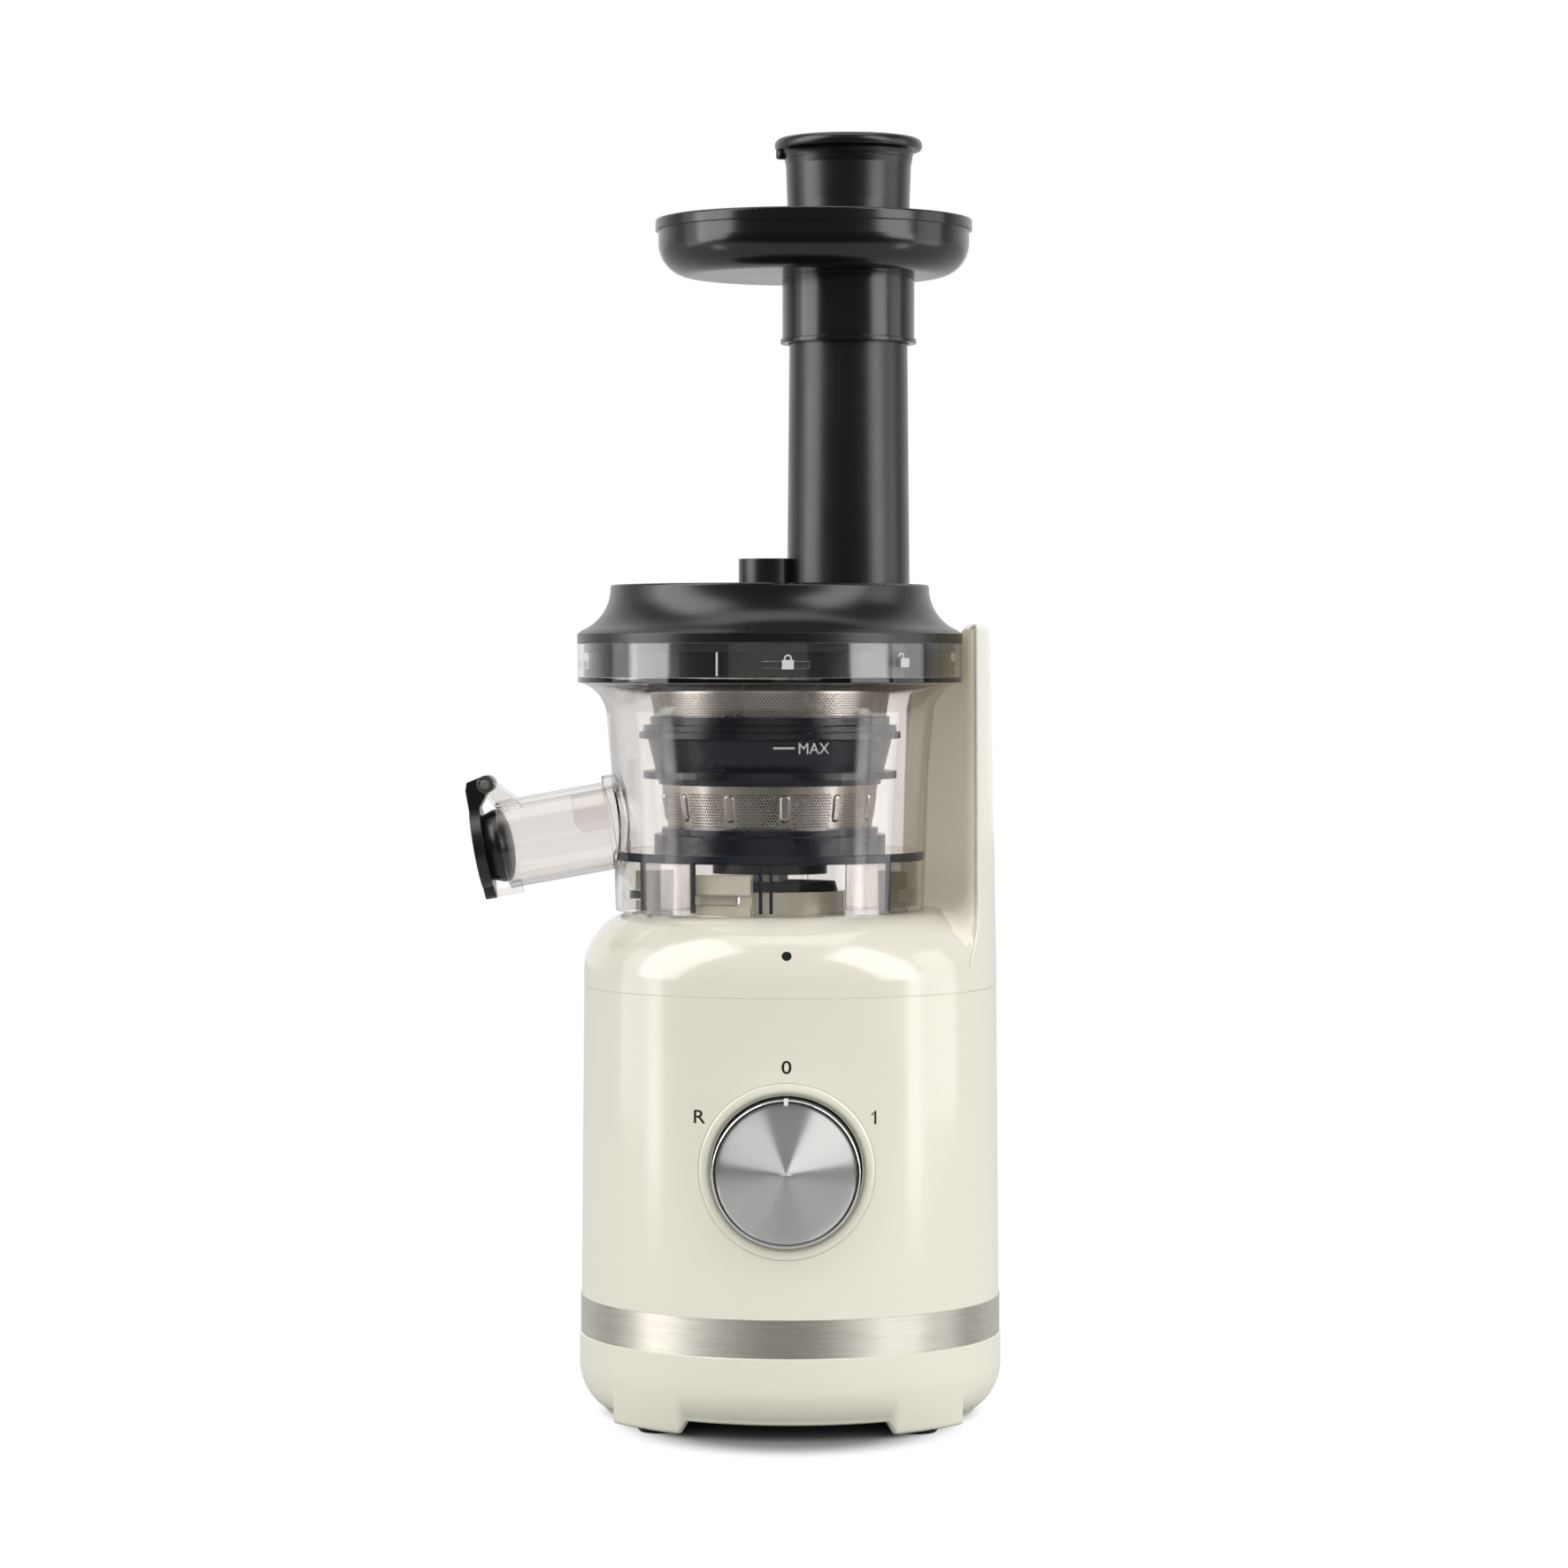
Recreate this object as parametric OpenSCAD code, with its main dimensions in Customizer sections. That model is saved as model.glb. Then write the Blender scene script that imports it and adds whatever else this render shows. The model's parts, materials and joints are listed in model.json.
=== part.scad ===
// Vertical cold press juicer: a round motor base with a side column, a clear
// juicing bowl with its strainer and auger, a lid with a feed tube, a hopper
// tray and a pusher. The origin is on the base's own axis, on the worktop.

/* [Motor base] */
// Radius of the housing where the top cover meets it
base_r = 75.7; // [74:0.1:80]
// How much wider the housing is at its foot than at its seam
housing_draft = 1; // [0:0.1:2]
// Height of the seam between the main housing and the top cover
seam_z = 156.8; // [150:0.1:160]
// Height of the flat seat that carries the bowl
seat_z = 184.5; // [180:0.1:190]
// Radius that rounds the shoulder over into the seat
shoulder_r = 22; // [16:0.5:24]
// Wall of the moulded base parts
base_wall = 2.6; // [2:0.1:3.2]
// Height of the steel band's lower edge
band_z = 29.9; // [28:0.1:34]
// Height of the steel band
band_h = 13.6; // [8:0.1:16]
// Thickness of the steel band
band_t = 0.8; // [0.5:0.1:1.2]
// Height at which the foot shell starts to round in
foot_round_z = 19; // [17:0.5:22]
// How far the foot shell has rounded in at the bottom
foot_round_in = 12.4; // [8:0.2:14]
// Height of the foot shell's lowest edge over the worktop
foot_gap = 1.3; // [1:0.1:3]
// Half width of the arch between the two front feet
arch_half_w = 36.4; // [30:0.2:38]
// Height of the arch between the feet
arch_h = 5.6; // [4.5:0.1:7]
// Radius of a rubber foot
rubber_r = 8; // [6:0.5:9]

/* [Column] */
// Height of the column's top
column_top_z = 289; // [286:0.5:300]
// Angle from the side to the column's front edge
column_front_deg = 21.5; // [15:0.5:28]
// Angle from the side to the column's back edge
column_back_deg = 40; // [25:0.5:48]
// Gap between the bowl's rim and the column
column_gap = 1.3; // [0.8:0.1:2.5]

/* [Knob] */
// Height of the knob's axis
knob_z = 95.8; // [90:0.1:105]
// Radius of the knob
knob_r = 26.1; // [24:0.1:28]
// How far the knob stands out of the housing
knob_proud = 8.5; // [7:0.5:16]
// Radius of the ring round the knob
bezel_r = 31.2; // [30.5:0.1:36]
// Angle from off to either working position
knob_swing = 60; // [40:1:70]

/* [Bowl] */
// How far the bowl's axis lies to the left of the base's axis
bowl_offset = 7.5; // [4:0.5:10]
// Radius of the bowl at its foot
bowl_r = 56.6; // [55:0.1:58]
// Radius of the bowl's rim
rim_r = 70.7; // [70:0.1:72]
// Height of the bowl
bowl_h = 97.5; // [94:0.5:104]
// Height of the rim band
rim_h = 14.2; // [12:0.2:16]
// Radius of the flare under the rim band
flare_r = 12.5; // [10:0.5:13]
// Wall of the bowl
bowl_wall = 2.2; // [1.6:0.1:2.6]
// Height of the bowl's floor over its seat, to the underside
floor_h = 18.5; // [17:0.1:22]
// Thickness of the bowl's floor
floor_t = 3; // [2:0.1:4]
// Radius of the hub post in the middle of the seat
hub_r = 28; // [24:0.5:30]
// Height of the hub post over the seat
hub_h = 7.7; // [6:0.1:9]

/* [Spout] */
// Outer radius of the juice spout
spout_r = 16.15; // [15:0.05:17]
// Distance from the bowl's axis to the middle of the spout's mouth
spout_reach = 97.8; // [92:0.2:104]
// Height of the mouth's middle over the bowl's seat
spout_h = 23.5; // [23:0.1:26]
// Slope of the spout below the horizontal
spout_tilt = 10.3; // [8:0.1:12]
// Thickness of the cap's lever plate
lever_t = 4; // [3:0.2:5]
// Distance from the mouth to the lever plate
lever_gap = 6; // [5:0.2:8]
// Radius of the cap's hinge pin
cap_pin_r = 1.5; // [1.2:0.1:2]

/* [Strainer and auger] */
// Outer radius of the strainer at its upper mesh
strainer_r = 44; // [42:0.2:45]
// Outer radius of the strainer at the foot of its lower mesh
strainer_foot_r = 37.3; // [36.5:0.1:38.5]
// Thickness of the strainer's steel mesh
mesh_t = 0.8; // [0.6:0.1:1.2]
// Number of juice slots round each mesh
slot_count = 40; // [24:4:48]
// Width of a juice slot
slot_w = 1.2; // [0.8:0.1:1.6]
// Radius of the auger's core at its top
core_top_r = 12; // [10:0.5:15]
// Radius of the auger's core at its foot
core_foot_r = 34.3; // [32:0.1:34.4]
// Running gap between the flights and the strainer
flight_gap = 0.6; // [0.4:0.1:1.5]

/* [Lid, tray and pusher] */
// Height of the lid from its rim to its top
lid_h = 20.5; // [18:0.5:26]
// Radius of the lid's top
lid_top_r = 58.4; // [56:0.2:60]
// Wall of the lid
lid_wall = 2.4; // [2:0.1:3]
// How far the lid must turn to come free
lid_unlock_deg = 39; // [30:1:42]
// How far the bowl must turn to come free
bowl_unlock_deg = 25; // [20:1:28]
// Distance from the bowl's axis to the feed tube's axis
tube_offset = 28.8; // [27:0.2:32]
// Outer radius of the feed tube at the lid
tube_r = 22.4; // [22.4:0.1:23.4]
// Bore radius of the feed tube
tube_bore_r = 19.4; // [18.4:0.1:19.6]
// Height of the feed tube's top over the worktop
tube_top_z = 416.3; // [405:0.5:430]
// Half length of the tray
tray_half_l = 58; // [54:0.5:64]
// Half width of the tray
tray_half_w = 52.5; // [50:0.5:54]
// Height of the tray
tray_h = 20.7; // [16:0.1:28]
// How far the tray's centre lies to the left of the tube's axis
tray_shift = 12.7; // [10:0.1:15]
// Height of the collar under the tray
collar_h = 24.6; // [16:0.2:30]
// Length of the pusher's stem below the tray
pusher_stem = 96; // [70:1:108]
// Height of the pusher over the tray's floor
pusher_h = 48; // [40:0.5:60]

/* [Drive] */
// Module of the planetary gears
gear_module = 1.25; // [1.2:0.01:1.3]
// Teeth on each sun gear
sun_teeth = 12; // [12:6:12]
// Teeth on each planet gear
planet_teeth = 18; // [18:6:18]
// Face width of the gears
gear_w = 13; // [11:0.5:13.5]
// Radius of the motor's stator
stator_r = 39; // [36:0.5:41]
// Height of the stator stack
stack_h = 32; // [24:0.5:36]
// Radius of the motor shaft
motor_shaft_r = 4; // [3.5:0.1:4.5]
// Radius of the drive shaft
drive_shaft_r = 7; // [6.8:0.1:8]
// Running gap of a shaft in its bore
run_fit = 0.05; // [0.03:0.01:0.08]
// Gap between a fixed part and the pocket that holds it
seat_fit = 0.15; // [0.1:0.05:0.3]

/* [Hidden] */
$fn = 72;
hair = 0.02;
cut = 1;

cream = "#ece7d8";
black_plastic = "#1b1b1d";
dark_plastic = "#23262f";
steel = "#b9babb";
smoke = [0.55, 0.56, 0.6, 0.45];

// Heights and places in the base
band_top_z = band_z + band_h;
foot_r = base_r + housing_draft + 0.7;
bowl_x = -bowl_offset;
seat_flat_r = base_r - shoulder_r;
cover_skin_z = seat_z - base_wall;
tongue_h = 3;
lobe_deg = 43;
lobe_half_deg = 12;
lobe_in_r = 57;
rubber_ring_r = 67.5;
plate_z = foot_gap + arch_h + 2.6;
plate_t = 2.5;
plate_r = foot_r - foot_round_in - base_wall - 1;
plate_screw_r = plate_r - 8.5;
capacitor_r = 12;
capacitor_h = 44;
capacitor_at = [plate_screw_r - 4.5, 17, 0];
board_size = [46, 1.6, 34];
board_y = plate_r - 9;
rail_w = 8;
knob_edge_r = 0.6;
knob_gap = 1.2;
knob_face_r = knob_r - 2 * knob_edge_r - 0.05;

// Column, bowl and lid
column_in_r = rim_r + column_gap;
rim_z = seat_z + bowl_h;
flare_z = rim_z - rim_h - flare_r + 0.1;
wall_top_r = rim_r + 1.8 - flare_r;
floor_z = seat_z + floor_h;
floor_top_z = floor_z + floor_t;
skirt_in_r = bowl_r - bowl_wall;
hub_bore_r = drive_shaft_r + 1;
lug_degs = [-109.5, 10.5, 160];
lug_out_r = skirt_in_r - 3.9;
lug_in_r = lug_out_r - 6.5;
lug_h = 14.5;
lug_half_deg = 13;
tab_z = seat_z + 4;
tab_h = 3;
tab_half_deg = 8;
chute_half_w = 13.5;
chute_wall = 2;
chute_reach = 94;
lock_degs = [-84, -174, 6, 96];
lock_z = rim_z - 9;
lid_skirt_r = rim_r - bowl_wall - 1.9;
lid_skirt_depth = rim_h - 1.6;
tube_x = bowl_x + tube_offset;
lid_top_z = rim_z + lid_h;
boss_r = 11.4;
boss_h = 10.5;
pin_r = 5;

// Strainer
base_ring_h = 8.4;
lower_mesh_z = floor_top_z + base_ring_h;
lower_mesh_h = 16;
lower_mesh_top_r = strainer_foot_r + 2.4;
frame_z = lower_mesh_z + lower_mesh_h;
frame_h = 25;
upper_mesh_z = frame_z + frame_h;
upper_mesh_h = 11.7;
strainer_top_z = upper_mesh_z + upper_mesh_h;

// Spout
spout_wall = 2.15;
spout_z = seat_z + spout_h;
spout_len = 46;
pin_up = 7;
pin_out = 2.3;
ear_gap = 6.6;
ear_t = 2.6;
plug_dome = 3.6;

// Tray and pusher
tray_floor_t = 2.2;
tray_wall = 2.2;
tray_floor_z = tube_top_z + tray_floor_t;
tray_rim_z = tube_top_z + tray_h;
tray_x = tube_x - tray_shift;
tray_foot_in = 12;
collar_wall = 2.2;
collar_r = tube_r + 1.8;
stem_r = tube_bore_r - 0.5;
neck_r = tube_r;
flange_r = tube_r + 4.6;
flange_h = 7.5;
pusher_wall = 2.2;
pusher_top_z = tray_floor_z + pusher_h;

// Drive line, built downwards from the bosses under the seat
ring_teeth = sun_teeth + 2 * planet_teeth;
ring_out_r = ring_teeth * gear_module / 2 + 7.5;
centre_r = (sun_teeth + planet_teeth) * gear_module / 2;
carrier_t = 4.5;
gear_gap = 0.5;
gearbox_top_z = seat_z - shoulder_r + 0.5;
gearbox_cover_t = 4;
ring_top_z = gearbox_top_z - gearbox_cover_t;
output_carrier_z = ring_top_z - gear_gap - carrier_t;
upper_gear_z = output_carrier_z - gear_gap - gear_w;
lower_carrier_z = upper_gear_z - gear_gap - carrier_t;
lower_gear_z = lower_carrier_z - gear_gap - gear_w;
ring_z = lower_gear_z - gear_gap;
gearbox_base_t = 6;
gearbox_base_z = ring_z - gearbox_base_t;
screw_ring_r = ring_out_r - 3;
planet_pin_r = 3;
carrier_r = centre_r + planet_pin_r + 3.5;
bracket_t = 6;
bracket_boss_r = 29;
bracket_boss_h = 6;
top_bracket_z = gearbox_base_z - bracket_boss_h - bracket_t;
winding_h = 11;
stack_z = top_bracket_z - winding_h - 1 - stack_h;
bottom_bracket_z = stack_z - winding_h - 1 - bracket_t;
rotor_r = 20.5;
bearing_r = 11;
bearing_h = 7;
output_bearing_r = drive_shaft_r + 6;
fan_h = 11;
fan_z = bottom_bracket_z - fan_h - 3;
fan_r = 33;
bolt_ring_r = stator_r - 3.5;
bolt_r = 1.6;
hex_r = drive_shaft_r - 0.4;
hex_z = seat_z + hub_h + 3;
shaft_top_z = floor_top_z + 16;
auger_foot_z = floor_top_z + 0.8;
neck_z = floor_z - 4;
auger_neck_r = 11.9;
bush_r = 10;
seal_disc_r = 25;
seal_disc_h = 3.3;

// Points of an arc, from one angle to the other, in steps
function arc(cx, cy, r, from, to, steps = 8) =
    [for (i = [0:steps]) let (a = from + (to - from) * i / steps) [cx + r * cos(a), cy + r * sin(a)]];

// A value on the straight line from a at height z0 to b at height z1
function between(z, z0, z1, a, b) = a + (b - a) * (z - z0) / (z1 - z0);

// Radius of the strainer's inner wall at a height
function sieve_r(z) =
    z < lower_mesh_z ? strainer_foot_r - 2
    : z < frame_z ? between(z, lower_mesh_z, frame_z, strainer_foot_r, lower_mesh_top_r) - mesh_t
    : z < strainer_top_z ? between(z, frame_z, strainer_top_z, lower_mesh_top_r, strainer_r) - mesh_t
    : strainer_r - mesh_t;

// Radius of the auger's core at a height, from its foot to its top
core_top_z = lid_top_z - 6;
function core_r(z) =
    let (t = (z - auger_foot_z - 5) / (core_top_z - auger_foot_z - 5))
    core_top_r - 3 + (core_foot_r - core_top_r + 3) * pow(1 - max(0, min(1, t)), 2);

// A ring standing on height z
module ring(z, h, r, bore) {
    translate([0, 0, z]) difference() {
        cylinder(h = h, r = r);
        translate([0, 0, -cut]) cylinder(h = h + 2 * cut, r = bore);
    }
}

// Half of a section, from the axis out to a radius, with its top outer corner rounded
module shouldered(z, r, top, corner_r) {
    intersection() {
        translate([0, z]) square([r, top - z]);
        union() {
            translate([0, z]) square([r, top - corner_r - z]);
            translate([0, z]) square([r - corner_r, top - z]);
            translate([r - corner_r, top - corner_r]) circle(r = corner_r);
        }
    }
}

// Half of a section with its bottom outer corner rounded
module cupped(z, r, top, corner_r) {
    translate([0, z + corner_r]) square([r, top - corner_r - z]);
    translate([0, z]) square([r - corner_r, top - z]);
    translate([r - corner_r, z + corner_r]) circle(r = corner_r);
}

// A wedge of the plan, between two angles and two radii
module sector(from, to, r_in, r_out) {
    intersection() {
        difference() {
            circle(r = r_out);
            circle(r = r_in);
        }
        reach = r_out * 1.6;
        mid = (from + to) / 2;
        polygon([[0, 0], reach * [cos(from), sin(from)], reach * [cos(mid), sin(mid)],
            reach * [cos(to), sin(to)]]);
    }
}

// Children copied to each angle
module at_angles(angles) {
    for (a = angles) rotate([0, 0, a]) children();
}

// Children moved to the bowl's axis
module on_bowl_axis() {
    translate([bowl_x, 0, 0]) children();
}

// Children with their own Z pointing out of the front at the knob's axis
module at_knob() {
    translate([0, 0, knob_z]) rotate([90, 0, 0]) children();
}

// Children at the spout's mouth, with their Z out of the mouth and X upwards
module at_spout() {
    translate([bowl_x - spout_reach, 0, spout_z]) rotate([0, -90 - spout_tilt, 0]) children();
}

// The housing's outer form, drawn in by a skin and lengthened at both ends
module housing_form(skin, over) {
    translate([0, 0, band_top_z - over]) cylinder(h = seam_z - band_top_z + 2 * over,
        r1 = base_r + housing_draft - skin, r2 = base_r - skin);
}

// ---- Motor base ----

module foot_shell() {
    color(cream) difference() {
        union() {
            rotate_extrude() polygon(concat(
                [[base_r - base_wall, band_top_z - hair], [base_r - base_wall, foot_round_z]],
                foot_curve(base_wall),
                [[foot_r - foot_round_in, foot_gap]],
                foot_curve_up(),
                [[foot_r, band_z], [base_r - 0.2, band_z], [base_r - 0.2, band_top_z - hair]]));
            for (side = [-90, 90], turn = [-lobe_deg, lobe_deg]) rotate([0, 0, side + turn]) lobe();
            for (a = [45:90:315]) rotate([0, 0, a]) plate_post();
        }
        for (a = [45:90:315]) rotate([0, 0, a]) translate([plate_screw_r, 0, plate_z])
            cylinder(h = plate_t + 10, r = 1.7 + hair);
        for (side = [0, 180]) rotate([0, 0, side]) arch();
        for (side = [-90, 90], turn = [-lobe_deg, lobe_deg]) rotate([0, 0, side + turn])
            translate([rubber_ring_r, 0, -cut]) cylinder(h = foot_gap + 2.2 + cut, r = rubber_r + seat_fit);
        translate([0, 0, band_z / 2 + 6]) rotate([-90, 0, 0]) cylinder(h = foot_r + 9, r = 7 + seat_fit);
    }
}

// The rounded inner and outer foot curves, from the wall down to the lowest edge
function foot_curve(inset) =
    [for (i = [1:7]) let (a = i * 90 / 7)
        [base_r - inset - (foot_round_in - 1) * (1 - cos(a)),
        foot_round_z - (foot_round_z - foot_gap - inset) * sin(a)]];
function foot_curve_up() =
    [for (i = [7:-1:0]) let (a = i * 90 / 8)
        [foot_r - foot_round_in * (1 - cos(a)), foot_round_z - (foot_round_z - foot_gap) * sin(a)]];

// One foot lobe standing out of the rounded foot, pointing along X; the plate rests on its inner part
module lobe() {
    difference() {
        translate([0, 0, foot_gap - 0.4]) linear_extrude(height = foot_round_z - foot_gap + 0.3)
            union() {
                sector(-lobe_half_deg, lobe_half_deg, lobe_in_r, foot_r - 0.2);
                for (s = [-1, 1]) rotate([0, 0, s * lobe_half_deg])
                    translate([foot_r - 3.2, 0]) circle(r = 3);
            }
        translate([0, 0, plate_z - hair]) cylinder(h = foot_round_z, r = plate_r + 0.3);
    }
}

// A screw post over the bottom plate, tied to the foot shell's wall by a rib
module plate_post() {
    post_z = plate_z + plate_t + hair;
    translate([plate_screw_r, 0, post_z]) cylinder(h = band_z - post_z, r = 4.5);
    translate([plate_screw_r, -1.2, post_z])
        cube([base_r - base_wall - plate_screw_r + 0.5, 2.4, band_z - post_z]);
}

// The arch between two feet, at the front
module arch() {
    translate([-arch_half_w, -foot_r - cut, foot_gap - cut])
        cube([2 * arch_half_w, 24, arch_h - 3 + cut]);
    translate([3 - arch_half_w, -foot_r - cut, foot_gap])
        cube([2 * arch_half_w - 6, 24, arch_h]);
    for (s = [-1, 1]) translate([s * (arch_half_w - 3), -foot_r - cut, foot_gap + arch_h - 3])
        rotate([-90, 0, 0]) cylinder(h = 24, r = 3);
}

module main_housing() {
    in_r = base_r - base_wall;
    tongue_t = 2.4;
    color(cream) difference() {
        union() {
            difference() {
                housing_form(0, 0);
                housing_form(base_wall, hair);
            }
            rotate_extrude() polygon([[in_r - tongue_t, seam_z - 6], [in_r + 0.6, seam_z - 6],
                [in_r + 0.6, seam_z - hair], [in_r - 0.2, seam_z - hair],
                [in_r - 0.2, seam_z + tongue_h], [in_r - tongue_t, seam_z + tongue_h]]);
        }
        at_knob() cylinder(h = base_r + 9, r = bezel_r + seat_fit);
    }
}

module trim_band() {
    color(steel) ring(band_z + hair, band_h - 2 * hair, base_r + housing_draft + 0.3,
        base_r + housing_draft + 0.3 - band_t);
}

module cover_outline(inset) {
    rotate_extrude() shouldered(seam_z - (inset > 0 ? cut : 0), base_r - inset, seat_z - inset,
        shoulder_r - inset);
}

// Plan of the column between its outer wall and the bowl, shrunk by a skin
module column_plan(skin, height) {
    r_low = base_r - skin;
    r_top = r_low - 2.3;
    edge_r = 4;
    intersection() {
        difference() {
            rotate_extrude() {
                polygon([[0, seam_z], [r_low, seam_z], [r_top, height - edge_r], [0, height - edge_r]]);
                shouldered(seam_z, r_top, height, edge_r);
            }
            on_bowl_axis() translate([0, 0, seam_z - cut])
                cylinder(h = height, r = column_in_r + skin);
        }
        translate([0, 0, seam_z]) linear_extrude(height = height - seam_z) union() {
            sector(skin * 2.4 - column_front_deg, column_back_deg - skin * 2.4, 20, base_r + 4);
            for (a = [skin * 2.4 - column_front_deg, column_back_deg - skin * 2.4]) rotate([0, 0, a])
                translate([(base_r + column_in_r - bowl_offset * cos(a)) / 2 - 0.6, 0])
                    circle(r = (base_r - column_in_r + bowl_offset * cos(a)) / 2 - skin);
        }
    }
}

module top_cover() {
    color(cream) difference() {
        union() {
            difference() {
                cover_outline(0);
                cover_outline(base_wall);
            }
            column_plan(0, column_top_z);
            on_bowl_axis() {
                translate([0, 0, cover_skin_z - hair]) cylinder(h = hub_h + base_wall + hair, r = hub_r);
                for (a = [45:90:315]) rotate([0, 0, a]) translate([screw_ring_r, 0, gearbox_top_z])
                    cylinder(h = cover_skin_z - gearbox_top_z + hair, r = 4.2);
                at_angles(lug_degs) lug();
            }
        }
        difference() {
            column_plan(2.2, column_top_z - 2.5);
            translate([0, 0, seam_z - cut]) cylinder(h = seat_z - seam_z + cut, r = base_r - 6);
        }
        translate([0, 0, seam_z - cut]) cylinder(h = tongue_h + 0.3 + cut, r = base_r - base_wall);
        on_bowl_axis() {
            translate([0, 0, cover_skin_z - cut]) cylinder(h = hub_h + base_wall + 2 * cut, r = hub_bore_r);
            for (a = [45:90:315]) rotate([0, 0, a]) translate([screw_ring_r, 0, gearbox_top_z - cut])
                cylinder(h = 12 + cut, r = bolt_r + hair);
        }
    }
}

// A bayonet lug on the seat, pointing along X, with the groove that takes the bowl's tab
module lug() {
    difference() {
        translate([0, 0, seat_z - hair]) linear_extrude(height = lug_h + hair)
            sector(-lug_half_deg, lug_half_deg, lug_in_r, lug_out_r);
        translate([0, 0, tab_z - 0.5]) linear_extrude(height = tab_h + 1)
            sector(-lug_half_deg - 4, lug_half_deg + 4, lug_out_r - 3, lug_out_r + 2);
    }
}

module bottom_plate() {
    vent_r = [11, 18, 25, 32];
    color(dark_plastic) difference() {
        union() {
            translate([0, 0, plate_z]) cylinder(h = plate_t, r = plate_r);
            translate([0, 0, plate_z + plate_t - hair]) {
                translate(capacitor_at) cylinder(h = 2, r = capacitor_r + 2);
                for (x = [-board_size[0] / 2 - 3, board_size[0] / 2 - rail_w + 3])
                    translate([x, board_y - 1.85, 0]) board_rail();
            }
        }
        for (a = [45:90:315]) rotate([0, 0, a]) {
            translate([plate_screw_r, 0, plate_z - cut]) cylinder(h = plate_t + 2 * cut, r = 2);
            for (r = vent_r) translate([0, 0, plate_z - cut]) linear_extrude(height = plate_t + 2 * cut)
                sector(13, 77, r - 1.4, r + 1.4);
        }
        translate(capacitor_at + [0, 0, plate_z + plate_t]) cylinder(h = 4, r = capacitor_r + seat_fit);
    }
}

// A slotted rail that holds one edge of the control board
module board_rail() {
    difference() {
        cube([rail_w, 5, 12]);
        translate([-cut, 1.7, 1]) cube([rail_w + 2 * cut, board_size[1] + 2 * seat_fit, 12]);
    }
}

module rubber_feet() {
    color(black_plastic) for (side = [-90, 90], turn = [-lobe_deg, lobe_deg]) rotate([0, 0, side + turn])
        translate([rubber_ring_r, 0, 0]) rotate_extrude() polygon([[0, 0], [rubber_r - 1.2, 0],
            [rubber_r, 1.2], [rubber_r, foot_gap + 2.1], [0, foot_gap + 2.1]]);
}

module bottom_screws() {
    color(steel) for (a = [45:90:315]) rotate([0, 0, a]) translate([plate_screw_r, 0, 0]) union() {
        translate([0, 0, plate_z - 2.2]) cylinder(h = 2.2 - hair, r = 3.6);
        translate([0, 0, plate_z - 1]) cylinder(h = plate_t + 9, r = 1.7);
    }
}

module cord_gland() {
    gland_z = band_z / 2 + 6;
    color(black_plastic) translate([0, foot_r, gland_z]) rotate([-90, 0, 0]) rotate_extrude()
        polygon([[3.3, -9], [7, -9], [7, 0.2], [9, 0.2], [9, 2.2], [6.5, 7], [3.3, 7]]);
}

module knob_bezel() {
    color(cream) intersection() {
        at_knob() difference() {
            translate([0, 0, base_r - 16]) cylinder(h = 26, r = bezel_r);
            translate([0, 0, base_r - 13.5]) cylinder(h = 30, r = knob_r + knob_gap);
            translate([0, 0, base_r - 18]) cylinder(h = 10, r = 4);
        }
        translate([0, 0, knob_z - bezel_r - cut]) cylinder(h = 2 * bezel_r + 2 * cut, r = base_r + 1.3);
    }
}

module rotary_switch() {
    color(dark_plastic) at_knob() difference() {
        union() {
            translate([0, 0, base_r - 30]) cylinder(h = 14 - hair, r = 14);
            for (a = [30:60:330]) rotate([0, 0, a]) translate([9, -2.4, base_r - 35])
                cube([0.8, 4.8, 6]);
        }
        translate([0, 0, base_r - 26]) cylinder(h = 18, r = 3.2);
    }
}

module knob_body() {
    front = base_r + knob_proud;
    color("#a8a8a6") at_knob() union() {
        difference() {
            rotate_extrude() difference() {
                union() {
                    translate([0, base_r - 12.8]) square([knob_r - 0.4, 9]);
                    shouldered(base_r - 4, knob_r, front, knob_edge_r);
                }
                translate([0, front - 1.6]) square([knob_r - 2 * knob_edge_r, 2]);
            }
            pointer_form(hair);
        }
        translate([0, 0, base_r - 24]) cylinder(h = 12, r = 3);
    }
}

module knob_face() {
    front = base_r + knob_proud;
    color("#c9c8c6") at_knob() difference() {
        rotate_extrude() polygon([[0, front - 1.6 + hair], [knob_face_r, front - 1.6 + hair],
            [knob_face_r, front - 0.7], [knob_face_r - 0.4, front - 0.3], [0, front - 0.1]]);
        pointer_form(hair);
    }
}

// The pointer's bar, set in the top of the knob's rim, or the slot that it stands in
module pointer_form(gap) {
    length = knob_proud - 4;
    translate([-0.8 - gap, knob_r - 1.9 - gap, base_r + knob_proud - length - gap])
        cube([1.6 + 2 * gap, gap > 0 ? 4 : 2.2, gap > 0 ? length + 1 : length - 0.3]);
}

module knob_pointer() {
    color("#e9e9e9") at_knob() pointer_form(0);
}

module control_board() {
    color("#2d6b45") translate([-board_size[0] / 2, board_y, plate_z + plate_t + 1.2]) union() {
        cube(board_size);
        translate([6, -8, 16]) cube([12, 8.1, 14]);
        translate([26, -6, 18]) cube([14, 6.1, 10]);
    }
}

module run_capacitor() {
    color("#8f9499") translate(capacitor_at + [0, 0, plate_z + plate_t + hair]) union() {
        cylinder(h = capacitor_h, r = capacitor_r);
        for (s = [-1, 1]) translate([s * 4 - 0.4, -3, capacitor_h - 1]) cube([0.8, 6, 9]);
    }
}

module interlock_sensor() {
    color("#1d4f7c") on_bowl_axis() rotate([0, 0, 6]) translate([column_in_r + 2.4, -6, column_top_z - 26])
        cube([1.8, 12, 20]);
}

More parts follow.
